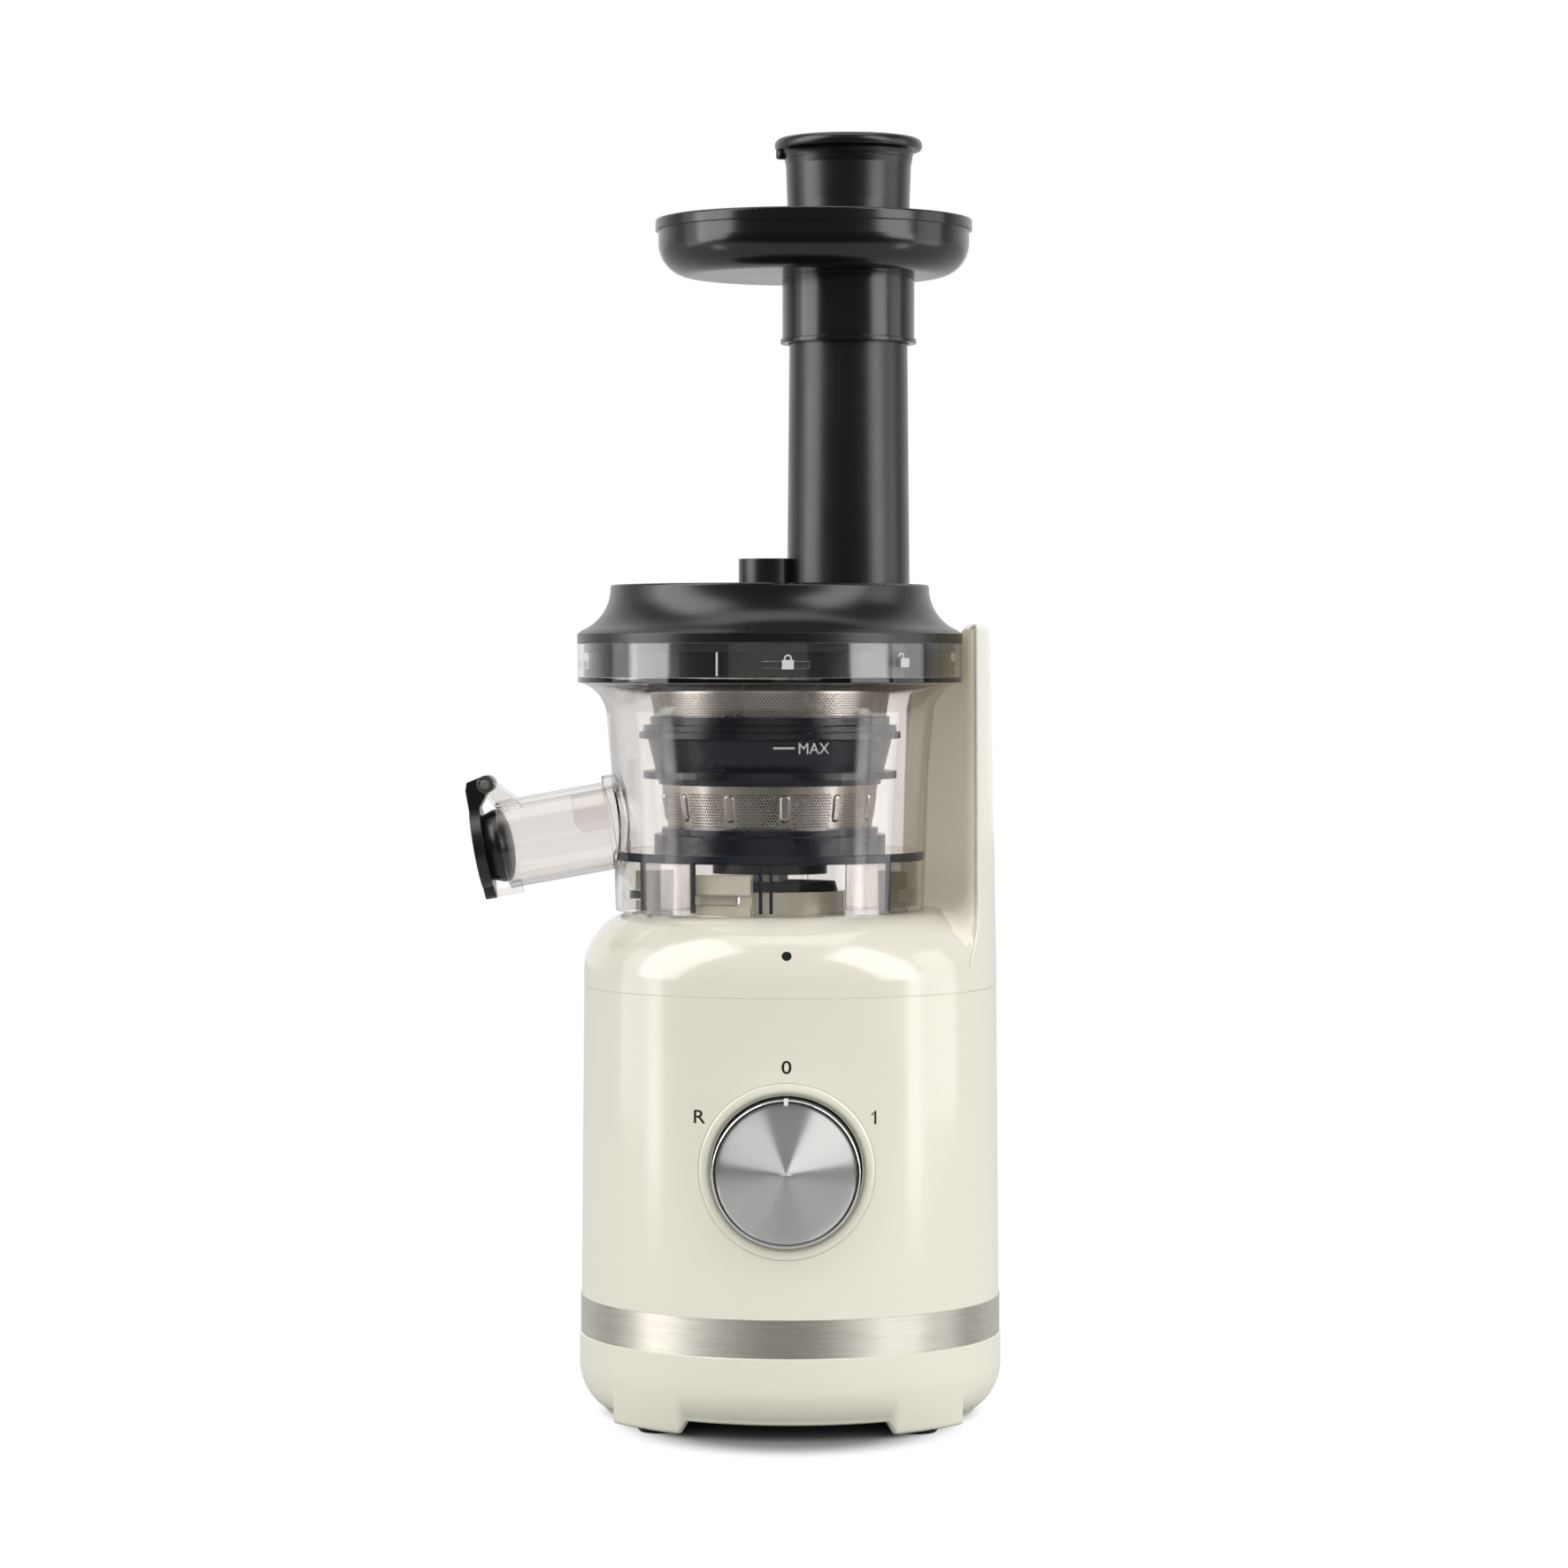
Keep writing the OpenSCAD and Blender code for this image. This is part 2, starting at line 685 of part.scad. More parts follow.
module hub_seal() {
    color(black_plastic) on_bowl_axis() difference() {
        translate([0, 0, seat_z + hub_h]) cylinder(h = seal_disc_h, r1 = seal_disc_r, r2 = seal_disc_r - 1);
        translate([0, 0, seat_z]) cylinder(h = 40, r = drive_shaft_r + 0.3);
    }
}

// ---- Motor ----

module motor_stator() {
    color("#7f8285") on_bowl_axis() translate([0, 0, stack_z]) difference() {
        cylinder(h = stack_h, r = stator_r);
        translate([0, 0, -cut]) cylinder(h = stack_h + 2 * cut, r = rotor_r + 0.4);
        for (a = [15:30:345]) rotate([0, 0, a]) translate([rotor_r + 6, -2.5, -cut])
            cube([6.5, 5, stack_h + 2 * cut]);
        for (a = [0:90:270]) rotate([0, 0, a]) translate([bolt_ring_r, 0, -cut])
            cylinder(h = stack_h + 2 * cut, r = bolt_r + 0.1);
    }
}

module stator_windings() {
    color("#b5651d") on_bowl_axis() for (z = [stack_z - winding_h, stack_z + stack_h + hair])
        translate([0, 0, z]) rotate_extrude() polygon([[rotor_r + 4.5, 0], [rotor_r + 10.5, 0],
            [rotor_r + 11.5, 3], [rotor_r + 11.5, winding_h - 3], [rotor_r + 10, winding_h - hair],
            [rotor_r + 5, winding_h - hair], [rotor_r + 4, winding_h - 3], [rotor_r + 4, 3]]);
}

// A bearing bracket of the motor, with its skirt towards the stator
module motor_bracket(skirt_sign) {
    difference() {
        union() {
            cylinder(h = bracket_t, r = stator_r);
            translate([0, 0, skirt_sign > 0 ? bracket_t - hair : -winding_h - 1 + hair])
                ring(0, winding_h + 1, stator_r, stator_r - 2);
            for (a = [0:90:270]) rotate([0, 0, a]) intersection() {
                translate([bolt_ring_r, 0, skirt_sign > 0 ? bracket_t - hair : -winding_h - 1 + hair])
                    cylinder(h = winding_h + 1, r = 3.2);
                translate([0, 0, -20]) cylinder(h = 60, r = stator_r);
            }
            translate([0, 0, skirt_sign > 0 ? -2 : bracket_t - hair])
                cylinder(h = skirt_sign > 0 ? 2 + hair : bracket_boss_h + hair,
                    r = skirt_sign > 0 ? 14 : bracket_boss_r);
        }
        translate([0, 0, skirt_sign > 0 ? bracket_t - bearing_h - 0.5 : -cut])
            cylinder(h = bearing_h + 0.5 + (skirt_sign > 0 ? cut : 0), r = bearing_r + hair);
        translate([0, 0, -30]) cylinder(h = 60, r = motor_shaft_r + 1);
        for (a = [0:90:270]) rotate([0, 0, a]) translate([bolt_ring_r, 0, -30])
            cylinder(h = 60, r = bolt_r + 0.1);
    }
}

module motor_top_bracket() {
    color("#9a9da0") on_bowl_axis() translate([0, 0, top_bracket_z]) motor_bracket(-1);
}

module motor_bottom_bracket() {
    color("#9a9da0") on_bowl_axis() translate([0, 0, bottom_bracket_z]) motor_bracket(1);
}

module motor_bearings() {
    color(steel) on_bowl_axis() {
        ring(top_bracket_z - 0.6, bearing_h, bearing_r, motor_shaft_r + run_fit);
        ring(bottom_bracket_z + bracket_t - bearing_h - 0.4, bearing_h, bearing_r, motor_shaft_r + run_fit);
    }
}

module motor_bolts() {
    low = bottom_bracket_z;
    color(steel) on_bowl_axis() for (a = [0:90:270]) rotate([0, 0, a]) translate([bolt_ring_r, 0, 0])
        union() {
            translate([0, 0, low - 2.5]) cylinder(h = 2.5 - hair, r = 3);
            translate([0, 0, low - cut]) cylinder(h = top_bracket_z + bracket_t - low + cut, r = bolt_r);
        }
}

module motor_rotor() {
    color("#6f7275") on_bowl_axis() ring(stack_z, stack_h, rotor_r, motor_shaft_r + hair);
}

module motor_shaft() {
    color(steel) on_bowl_axis() translate([0, 0, fan_z - 1])
        cylinder(h = lower_gear_z + gear_w - fan_z + 1, r = motor_shaft_r);
}

module cooling_fan() {
    color(dark_plastic) on_bowl_axis() translate([0, 0, fan_z]) difference() {
        union() {
            cylinder(h = fan_h, r = 9);
            cylinder(h = 1.6, r = fan_r);
            for (a = [0:40:320]) rotate([0, 0, a]) translate([8, -0.8, 0]) cube([fan_r - 9, 1.6, fan_h]);
        }
        translate([0, 0, -cut]) cylinder(h = fan_h + 2 * cut, r = motor_shaft_r + hair);
    }
}

// ---- Planetary gearbox ----

// Outline of a gear with straight flanks; an inward one has its teeth pointing in
function gear_outline(teeth, inward = false) =
    let (pitch = teeth * gear_module / 2, step = 360 / teeth,
        tip = pitch + (inward ? -0.75 : 0.8) * gear_module,
        root = pitch + (inward ? 1.1 : -1.1) * gear_module,
        tip_half = (inward ? 0.12 : 0.13) * step,
        root_half = (inward ? 0.27 : 0.3) * step)
    [for (i = [0:teeth - 1], p = [[root, -root_half], [tip, -tip_half], [tip, tip_half], [root, root_half]])
        p[0] * [cos(i * step + p[1]), sin(i * step + p[1])]];

module gear(teeth, bore, phase = 0) {
    difference() {
        rotate([0, 0, phase]) linear_extrude(height = gear_w) polygon(gear_outline(teeth));
        translate([0, 0, -cut]) cylinder(h = gear_w + 2 * cut, r = bore);
    }
}

module planet(z, angle) {
    on_bowl_axis() rotate([0, 0, angle]) translate([centre_r, 0, z])
        gear(planet_teeth, planet_pin_r + run_fit, 180 / planet_teeth);
}

// A carrier plate on height z, with its three planet pins pointing down
module carrier(z, bore) {
    on_bowl_axis() difference() {
        union() {
            translate([0, 0, z]) cylinder(h = carrier_t, r = carrier_r);
            at_angles([0, 120, 240]) translate([centre_r, 0, z - gear_gap - gear_w])
                cylinder(h = gear_w + gear_gap + cut, r = planet_pin_r);
        }
        translate([0, 0, z - cut]) cylinder(h = carrier_t + 2 * cut, r = bore);
    }
}

module gearbox_base() {
    color("#9a9da0") on_bowl_axis() translate([0, 0, gearbox_base_z]) difference() {
        cylinder(h = gearbox_base_t - hair, r = ring_out_r);
        translate([0, 0, -cut]) cylinder(h = gearbox_base_t + 2 * cut, r = motor_shaft_r + 2);
        for (a = [45:90:315]) rotate([0, 0, a]) translate([screw_ring_r, 0, -cut])
            cylinder(h = gearbox_base_t + 2 * cut, r = bolt_r + 0.1);
    }
}

module ring_gear() {
    tall = ring_top_z - ring_z;
    color("#d8d6cd") on_bowl_axis() translate([0, 0, ring_z]) difference() {
        cylinder(h = tall - hair, r = ring_out_r);
        translate([0, 0, -cut]) linear_extrude(height = tall + 2 * cut)
            polygon(gear_outline(ring_teeth, true));
        for (a = [45:90:315]) rotate([0, 0, a]) translate([screw_ring_r, 0, -cut])
            cylinder(h = tall + 2 * cut, r = bolt_r + 0.1);
    }
}

module gearbox_cover() {
    color("#9a9da0") on_bowl_axis() translate([0, 0, ring_top_z]) difference() {
        union() {
            cylinder(h = gearbox_cover_t - hair, r = ring_out_r);
            cylinder(h = 15, r = output_bearing_r + 3);
        }
        translate([0, 0, 3]) cylinder(h = 20, r = output_bearing_r + hair);
        translate([0, 0, -cut]) cylinder(h = 20, r = drive_shaft_r + 1.5);
        for (a = [45:90:315]) rotate([0, 0, a]) translate([screw_ring_r, 0, -cut])
            cylinder(h = gearbox_cover_t + 2 * cut, r = bolt_r + 0.1);
    }
}

module gearbox_screws() {
    color(steel) on_bowl_axis() for (a = [45:90:315]) rotate([0, 0, a]) translate([screw_ring_r, 0, 0])
        union() {
            translate([0, 0, gearbox_base_z - 2.5]) cylinder(h = 2.5 - hair, r = 2.8);
            translate([0, 0, gearbox_base_z - cut])
                cylinder(h = gearbox_top_z + 10 - gearbox_base_z + cut, r = bolt_r);
        }
}

module output_bearing() {
    color(steel) on_bowl_axis() ring(ring_top_z + 3 + hair, 10, output_bearing_r,
        drive_shaft_r + run_fit);
}

module lower_sun_gear() {
    color(steel) on_bowl_axis() translate([0, 0, lower_gear_z]) gear(sun_teeth, motor_shaft_r + hair);
}

module lower_planet_a() {
    color("#e4e1d4") planet(lower_gear_z, 0);
}

module lower_planet_b() {
    color("#e4e1d4") planet(lower_gear_z, 120);
}

module lower_planet_c() {
    color("#e4e1d4") planet(lower_gear_z, 240);
}

module lower_carrier() {
    color("#8d9094") carrier(lower_carrier_z, 3);
}

module upper_sun_gear() {
    color(steel) on_bowl_axis() union() {
        translate([0, 0, upper_gear_z]) gear(sun_teeth, 2);
        translate([0, 0, lower_carrier_z + 0.2]) cylinder(h = upper_gear_z - lower_carrier_z, r = 3 - hair);
    }
}

module upper_planet_a() {
    color("#e4e1d4") planet(upper_gear_z, 0);
}

module upper_planet_b() {
    color("#e4e1d4") planet(upper_gear_z, 120);
}

module upper_planet_c() {
    color("#e4e1d4") planet(upper_gear_z, 240);
}

module output_carrier() {
    color("#8d9094") carrier(output_carrier_z, drive_shaft_r - 1);
}

module drive_shaft() {
    color(steel) on_bowl_axis() union() {
        translate([0, 0, output_carrier_z + 0.2]) cylinder(h = carrier_t, r = drive_shaft_r - 1 - hair);
        translate([0, 0, output_carrier_z + carrier_t + 0.1])
            cylinder(h = hex_z - output_carrier_z - carrier_t, r = drive_shaft_r);
        translate([0, 0, hex_z]) cylinder(h = shaft_top_z - hex_z, r = hex_r, $fn = 6);
    }
}

// ---- Auger ----

// Points of one flight: four to a section, wound down the core from an angle
function flight_points(start, turns, z_top, z_foot, thick, steps) =
    [for (i = [0:steps]) let (t = i / steps, z = z_top + (z_foot - z_top) * t, a = start - 360 * turns * t,
        grow = min(1, 0.35 + 4 * t), r_in = core_r(z) - 2,
        r_out = (core_r(z) + 1.5) * (1 - grow) + (sieve_r(z - thick / 2 - 0.1) - flight_gap) * grow)
        each [for (p = [[r_in, -thick], [r_out, -thick * 0.45], [r_out, thick * 0.45], [r_in, thick]])
            [p[0] * cos(a), p[0] * sin(a), z + p[1]]]];

function flight_faces(steps) = concat([[0, 1, 2], [0, 2, 3]],
    [for (i = [0:steps - 1], k = [0:3]) let (a = 4 * i + k, b = 4 * i + (k + 1) % 4)
        each [[a, a + 4, b + 4], [a, b + 4, b]]],
    [let (e = 4 * steps) [e, e + 2, e + 1], let (e = 4 * steps) [e, e + 3, e + 2]]);

module flight(start, turns, z_top, z_foot, thick, steps) {
    polyhedron(points = flight_points(start, turns, z_top, z_foot, thick, steps),
        faces = flight_faces(steps), convexity = 10);
}

module auger() {
    steps = 14;
    core = [for (i = [0:steps]) let (z = auger_foot_z + 5 + (core_top_z - auger_foot_z - 5) * i / steps)
        [core_r(z), z]];
    color(dark_plastic) on_bowl_axis() difference() {
        union() {
            rotate_extrude() polygon(concat([[0, neck_z], [auger_neck_r, neck_z],
                [auger_neck_r, auger_foot_z], [core_foot_r, auger_foot_z]], core,
                [[pin_r, core_top_z + 0.5], [pin_r, lid_top_z + boss_h - 4], [0, lid_top_z + boss_h - 4]]));
            flight(20, 1.35, strainer_top_z + 16, auger_foot_z + 9, 4, 44);
            flight(200, 1.1, strainer_top_z - 6, auger_foot_z + 9, 3.4, 36);
            for (a = [60:60:360]) flight(a, 0.3, lower_mesh_z + 10, auger_foot_z + 4, 2.2, 8);
        }
        translate([0, 0, neck_z - cut]) cylinder(h = shaft_top_z - neck_z + 1.5 + cut, r = bush_r + hair);
    }
}

module auger_bush() {
    color(steel) on_bowl_axis() difference() {
        translate([0, 0, neck_z]) cylinder(h = shaft_top_z - neck_z + 1, r = bush_r);
        translate([0, 0, neck_z - cut])
            cylinder(h = shaft_top_z - neck_z + 1.2, r = hex_r + seat_fit, $fn = 6);
    }
}

// ---- Bowl ----

// Section of the bowl's wall where it flares out to its rim, and the rim
module bowl_flare() {
    axis_r = wall_top_r + flare_r;
    intersection() {
        translate([axis_r, flare_z]) difference() {
            circle(r = flare_r + bowl_wall);
            circle(r = flare_r);
        }
        translate([wall_top_r - 2 * bowl_wall, flare_z])
            square([rim_r - wall_top_r + 2 * bowl_wall, flare_r + bowl_wall]);
    }
    translate([rim_r - bowl_wall, rim_z - rim_h]) square([bowl_wall, rim_h]);
}

module bowl() {
    lower_r = bowl_r + 1.6;
    lower_z = seat_z + (flare_z - seat_z) * 0.72;
    color(smoke) union() {
        difference() {
            union() {
                on_bowl_axis() {
                    rotate_extrude() {
                        bowl_flare();
                        polygon([[skirt_in_r, floor_z], [skirt_in_r, seat_z], [bowl_r, seat_z],
                            [lower_r, lower_z], [wall_top_r, flare_z], [wall_top_r - bowl_wall, flare_z],
                            [lower_r - bowl_wall, lower_z], [skirt_in_r + 0.4, floor_top_z],
                            [auger_neck_r + 2, floor_top_z], [auger_neck_r + 2, floor_z]]);
                    }
                    difference() {
                        chute(0);
                        translate([0, 0, floor_z]) cylinder(h = 30, r = bowl_r - 0.5);
                    }
                    at_angles(lug_degs) translate([0, 0, tab_z]) linear_extrude(height = tab_h)
                        sector(-tab_half_deg, tab_half_deg, skirt_in_r - 6.3, skirt_in_r + 0.8);
                    at_angles(lock_degs) translate([0, 0, lock_z]) linear_extrude(height = 2.4)
                        sector(-7, 7, lid_skirt_r + 0.4, rim_r - bowl_wall + 0.8);
                }
                difference() {
                    at_spout() translate([0, 0, -spout_len]) cylinder(h = spout_len, r = spout_r);
                    on_bowl_axis() translate([0, 0, seat_z - 20]) cylinder(h = 70, r = bowl_r - 0.9);
                }
                difference() {
                    at_spout() translate([0, 0, -spout_len + 2]) cylinder(h = 4, r = spout_r + 2.4);
                    on_bowl_axis() translate([0, 0, seat_z - 20]) cylinder(h = 70, r = bowl_r - 0.9);
                }
            }
            intersection() {
                at_spout() translate([0, 0, -spout_len - 8])
                    cylinder(h = spout_len + 8 + cut, r = spout_r - spout_wall);
                union() {
                    translate([bowl_x - bowl_r - 60.5, -30, seat_z]) cube([60, 60, 60]);
                    translate([bowl_x - bowl_r - 1, -30, floor_top_z]) cube([20, 60, 60]);
                }
            }
            on_bowl_axis() {
                chute(chute_wall);
                translate([0, 0, floor_z - cut]) linear_extrude(height = floor_t + 2 * cut)
                    sector(90 - 16, 90 + 16, core_foot_r - 1.5, strainer_foot_r - 0.8);
            }
        }
        spout_ears();
    }
}

// The pulp chute under the floor, running out of the back, or its bore
module chute(skin) {
    half = chute_half_w - skin;
    end = chute_reach + (skin > 0 ? cut : 0);
    translate([half, 0, 0]) rotate([0, -90, 0]) linear_extrude(height = 2 * half)
        polygon([[floor_z, hub_r + 1.8 + skin], [seat_z + 1 + skin, hub_r + 1.8 + skin],
            [seat_z + 1 + skin, chute_reach - 14], [seat_z - 2 + skin, end],
            [seat_z + 13 - skin, end], [floor_z + 0.6 - skin, chute_reach - 16],
            [floor_z + 0.6 - skin, skin > 0 ? strainer_foot_r : skirt_in_r - 3], [floor_z, skirt_in_r - 3]]);
}

// Two ears over the mouth that hold the cap's pin, and the catch under it
module spout_ears() {
    pin_x = spout_r + pin_up;
    at_spout() {
        for (s = [-1, 1]) translate([0, s * (ear_gap + ear_t / 2), 0]) rotate([90, 0, 0])
            translate([0, 0, -ear_t / 2]) difference() {
                linear_extrude(height = ear_t) union() {
                    polygon([[spout_r - 1.9, -9], [pin_x, pin_out - 3], [pin_x, pin_out + 3],
                        [spout_r - 1.9, 0]]);
                    translate([pin_x, pin_out]) circle(r = 3);
                }
                translate([pin_x, pin_out, -cut]) cylinder(h = ear_t + 2 * cut, r = cap_pin_r + hair);
            }
        translate([-spout_r - 2.2, -3, -4]) cube([2.6, 6, 3.9 + lever_gap - 0.4]);
    }
}

module bowl_floor_seal() {
    color(black_plastic) on_bowl_axis() difference() {
        union() {
            translate([0, 0, floor_z - 4.6]) cylinder(h = 4.6 - hair, r = 21);
            translate([0, 0, floor_z - cut]) cylinder(h = cut + floor_t + 0.4, r = auger_neck_r + 2 - hair);
        }
        translate([0, 0, floor_z - 10]) cylinder(h = 30, r = auger_neck_r + 0.3);
    }
}

module pulp_seal() {
    half = chute_half_w - chute_wall - 0.1;
    color(black_plastic) on_bowl_axis() translate([half, 0, 0]) rotate([0, -90, 0])
        linear_extrude(height = 2 * half) polygon([[seat_z + 1 + chute_wall + hair, skirt_in_r + 6],
            [seat_z + 1 + chute_wall + hair, skirt_in_r + 18], [seat_z + chute_wall + 4, skirt_in_r + 16],
            [seat_z + chute_wall + 4, skirt_in_r + 12]]);
}

module strainer_base_ring() {
    color(dark_plastic) on_bowl_axis() difference() {
        rotate_extrude() polygon([[strainer_foot_r - 2, floor_top_z + hair],
            [strainer_foot_r + 5.2, floor_top_z + hair], [strainer_foot_r + 5.2, floor_top_z + 6],
            [strainer_foot_r + 2.4, floor_top_z + 6.2], [strainer_foot_r + 2.4, lower_mesh_z],
            [strainer_foot_r - 2, lower_mesh_z]]);
        translate([0, 0, lower_mesh_z - 2]) difference() {
            cylinder(h = 4, r = strainer_foot_r + 0.1);
            translate([0, 0, -cut]) cylinder(h = 6, r = strainer_foot_r - mesh_t - 0.1);
        }
    }
}

// A conical mesh sleeve with upright juice slots in rows
module mesh_sleeve(z, h, r1, r2, rows, tuck) {
    row_h = h / rows;
    on_bowl_axis() difference() {
        union() {
            translate([0, 0, z]) cylinder(h = h, r1 = r1, r2 = r2);
            translate([0, 0, z - tuck]) cylinder(h = tuck + hair, r = r1);
        }
        translate([0, 0, z - hair]) cylinder(h = h + 2 * hair, r1 = r1 - mesh_t, r2 = r2 - mesh_t);
        translate([0, 0, z - tuck - cut]) cylinder(h = tuck + cut, r = r1 - mesh_t);
        for (row = [0:rows - 1], i = [0:slot_count - 1]) rotate([0, 0, (i + row / 2) * 360 / slot_count])
            translate([r1 - 4, -slot_w / 2, z + row * row_h + 1.4]) cube([12, slot_w, row_h - 2.2]);
    }
}

module lower_mesh() {
    color(steel) mesh_sleeve(lower_mesh_z, lower_mesh_h, strainer_foot_r, lower_mesh_top_r, 2, 1.9);
}

module upper_mesh() {
    color(steel) mesh_sleeve(upper_mesh_z, upper_mesh_h, strainer_r - 1.2, strainer_r, 2, 1.5);
}

module strainer_frame() {
    z0 = frame_z;
    z1 = upper_mesh_z;
    top_r = strainer_r - 1.2;
    color(dark_plastic) on_bowl_axis() rotate_extrude() polygon([
        [lower_mesh_top_r - mesh_t, z0 + hair], [lower_mesh_top_r + 1, z0 + hair],
        [lower_mesh_top_r + 1.4, z0 + 2], [strainer_r + 2.5, z0 + 2.2], [strainer_r + 2.5, z0 + 5],
        [strainer_r - 2, z0 + 5.6], [strainer_r + 0.8, z0 + 16.6], [strainer_r + 4, z0 + 17],
        [strainer_r + 4, z0 + 19.4], [strainer_r + 2.5, z0 + 19.6], [strainer_r + 2.5, z0 + 21.8],
        [top_r + 1.2, z0 + 22], [top_r + 1.2, z1 - hair], [top_r + 0.1, z1 - hair],
        [top_r + 0.1, z1 - 1.6], [top_r - mesh_t - 0.1, z1 - 1.6], [top_r - mesh_t - 0.1, z0 + 16]]);
}

module cap_pin() {
    color(steel) at_spout() translate([spout_r + pin_up, 0, pin_out]) rotate([90, 0, 0])
        translate([0, 0, -ear_gap - ear_t]) cylinder(h = 2 * (ear_gap + ear_t), r = cap_pin_r);
}

// ---- Spout cap ----

module spout_cap() {
    half_w = ear_gap - 0.4;
    foot = -spout_r - 2.6;
    pin_x = spout_r + pin_up;
    lever_z = lever_gap + lever_t;
    color(black_plastic) at_spout() difference() {
        union() {
            translate([0, 0, lever_gap]) linear_extrude(height = lever_t) union() {
                circle(r = spout_r - 0.6);
                translate([foot + 5, 0]) circle(r = 5);
                translate([foot + 5, -5]) square([14, 10]);
                translate([0, -half_w]) square([pin_x - 1.5, 2 * half_w]);
            }
            translate([0, half_w, 0]) rotate([90, 0, 0]) linear_extrude(height = 2 * half_w) union() {
                translate([pin_x, pin_out]) circle(r = 3.2);
                polygon([[pin_x - 3.2, pin_out], [pin_x + 3.2, pin_out], [pin_x + 1.8, lever_z - 1],
                    [pin_x - 1, lever_z], [pin_x - 8, lever_z], [pin_x - 8, lever_gap]]);
            }
        }
        translate([pin_x, 20, pin_out]) rotate([90, 0, 0]) cylinder(h = 40, r = cap_pin_r + run_fit);
    }
}

module cap_plug() {
    r = spout_r - spout_wall - 0.5;
    color(black_plastic) at_spout() rotate_extrude() polygon(concat(
        [for (a = [0:18:90]) [r * sin(a), -plug_dome * cos(a)]],
        [[r, 2], [r - 1.5, lever_gap - hair], [0, lever_gap - hair]]));
}

// ---- Lid ----

module lid() {
    foot_z = rim_z - lid_skirt_depth;
    rim_t = 3.5;
    flare = lid_h - rim_t;
    lid_edge_r = 0.9;
    foot_drop = flare * sin(44);
    foot_r2 = lid_top_r + flare * (1 - cos(44));
    color(black_plastic) difference() {
        union() {
            on_bowl_axis() {
                rotate_extrude() {
                    difference() {
                        polygon([[0, rim_z + hair], [rim_r, rim_z + hair], [rim_r, rim_z + rim_t],
                            [foot_r2, lid_top_z - foot_drop], [foot_r2, lid_top_z], [0, lid_top_z]]);
                        translate([lid_top_r + flare, lid_top_z]) circle(r = flare);
                    }
                    translate([0, lid_top_z - 2]) square([lid_top_r - lid_edge_r, 2 + lid_edge_r]);
                    translate([lid_top_r - lid_edge_r, lid_top_z]) circle(r = lid_edge_r);
                }
                ring(foot_z, lid_skirt_depth + cut, lid_skirt_r, lid_skirt_r - lid_wall);
                at_angles(lock_degs) translate([0, 0, lock_z - 3.1]) linear_extrude(height = 2.8)
                    sector(-5.5, 5.5, lid_skirt_r - 1, rim_r - bowl_wall - 0.3);
                translate([0, 0, lid_top_z]) cylinder(h = boss_h, r = boss_r);
            }
            tube_form(rim_z + 4);
        }
        on_bowl_axis() {
            translate([0, 0, foot_z - cut])
                cylinder(h = lid_skirt_depth + cut + 1.5, r = lid_skirt_r - lid_wall);
            translate([0, 0, rim_z]) cylinder(h = lid_h - lid_wall, r = lid_top_r - 1);
            translate([0, 0, lid_top_z - 5]) cylinder(h = boss_h + 2, r = pin_r + 0.3);
        }
        translate([tube_x, 0, rim_z - cut]) cylinder(h = tube_top_z, r = tube_bore_r);
    }
}

// The feed tube's outside, drawn in a little towards its top
module tube_form(foot_z) {
    translate([tube_x, 0, foot_z]) cylinder(h = tube_top_z - foot_z, r1 = tube_r + 0.2, r2 = tube_r - 1);
}

module lid_seal() {
    color("#34353a") on_bowl_axis() ring(rim_z - 3.4, 3.3, rim_r - bowl_wall - 0.3, lid_skirt_r + hair);
}

module lid_magnet() {
    color(steel) on_bowl_axis() rotate([0, 0, 8])
        translate([lid_skirt_r - lid_wall - 2, 0, rim_z + 1.5 - hair - 1.8]) cylinder(h = 1.8, r = 1.8);
}

// ---- Tray and pusher ----

// A dish form with round ends, from a half section drawn from its axis outwards
module dish() {
    half = tray_half_l - tray_half_w;
    for (turn = [0, 180]) rotate([0, 0, turn]) {
        translate([half, 0, 0]) rotate_extrude() children();
        rotate([90, 0, 90]) translate([0, 0, -half]) linear_extrude(height = 2 * half) children();
    }
}

module hopper_tray() {
    z0 = tube_top_z;
    side_r = tray_half_w - 1.1;
    lip_h = 4;
    lip_edge_r = 0.8;
    color(black_plastic) difference() {
        union() {
            translate([tray_x, 0, 0]) difference() {
                dish() {
                    cupped(z0, side_r, tray_rim_z - 1, tray_foot_in);
                    shouldered(tray_rim_z - lip_h, tray_half_w, tray_rim_z, lip_edge_r);
                }
                dish() cupped(tray_floor_z, side_r - tray_wall, tray_rim_z + cut, tray_foot_in);
            }
            translate([tube_x, 0, z0 - collar_h]) cylinder(h = collar_h + cut, r = collar_r);
            translate([tube_x, 0, z0 - collar_h]) cylinder(h = 1.6, r = collar_r + 0.7);
        }
        translate([tube_x, 0, z0 - collar_h - cut]) cylinder(h = collar_h + cut, r = tube_r - 0.1);
        translate([tube_x, 0, z0 - cut]) cylinder(h = 20, r = tube_bore_r);
    }
}

module pusher() {
    top = pusher_top_z - flange_h;
    foot = tray_floor_z - pusher_stem;
    color(black_plastic) translate([tube_x, 0, 0]) rotate_extrude() polygon([[0, foot],
        [stem_r - 3, foot], [stem_r, foot + 3], [stem_r, tray_floor_z + hair], [neck_r, tray_floor_z + hair],
        [neck_r, tray_floor_z + 25], [neck_r + 0.5, top - 2.4], [neck_r + 1, top],
        [neck_r + 1 - pusher_wall, top], [neck_r - pusher_wall, tray_floor_z + pusher_wall + 1],
        [stem_r - pusher_wall, tray_floor_z - 1], [stem_r - pusher_wall, foot + pusher_wall + 2],
        [stem_r - pusher_wall - 3, foot + pusher_wall], [0, foot + pusher_wall]]);
}

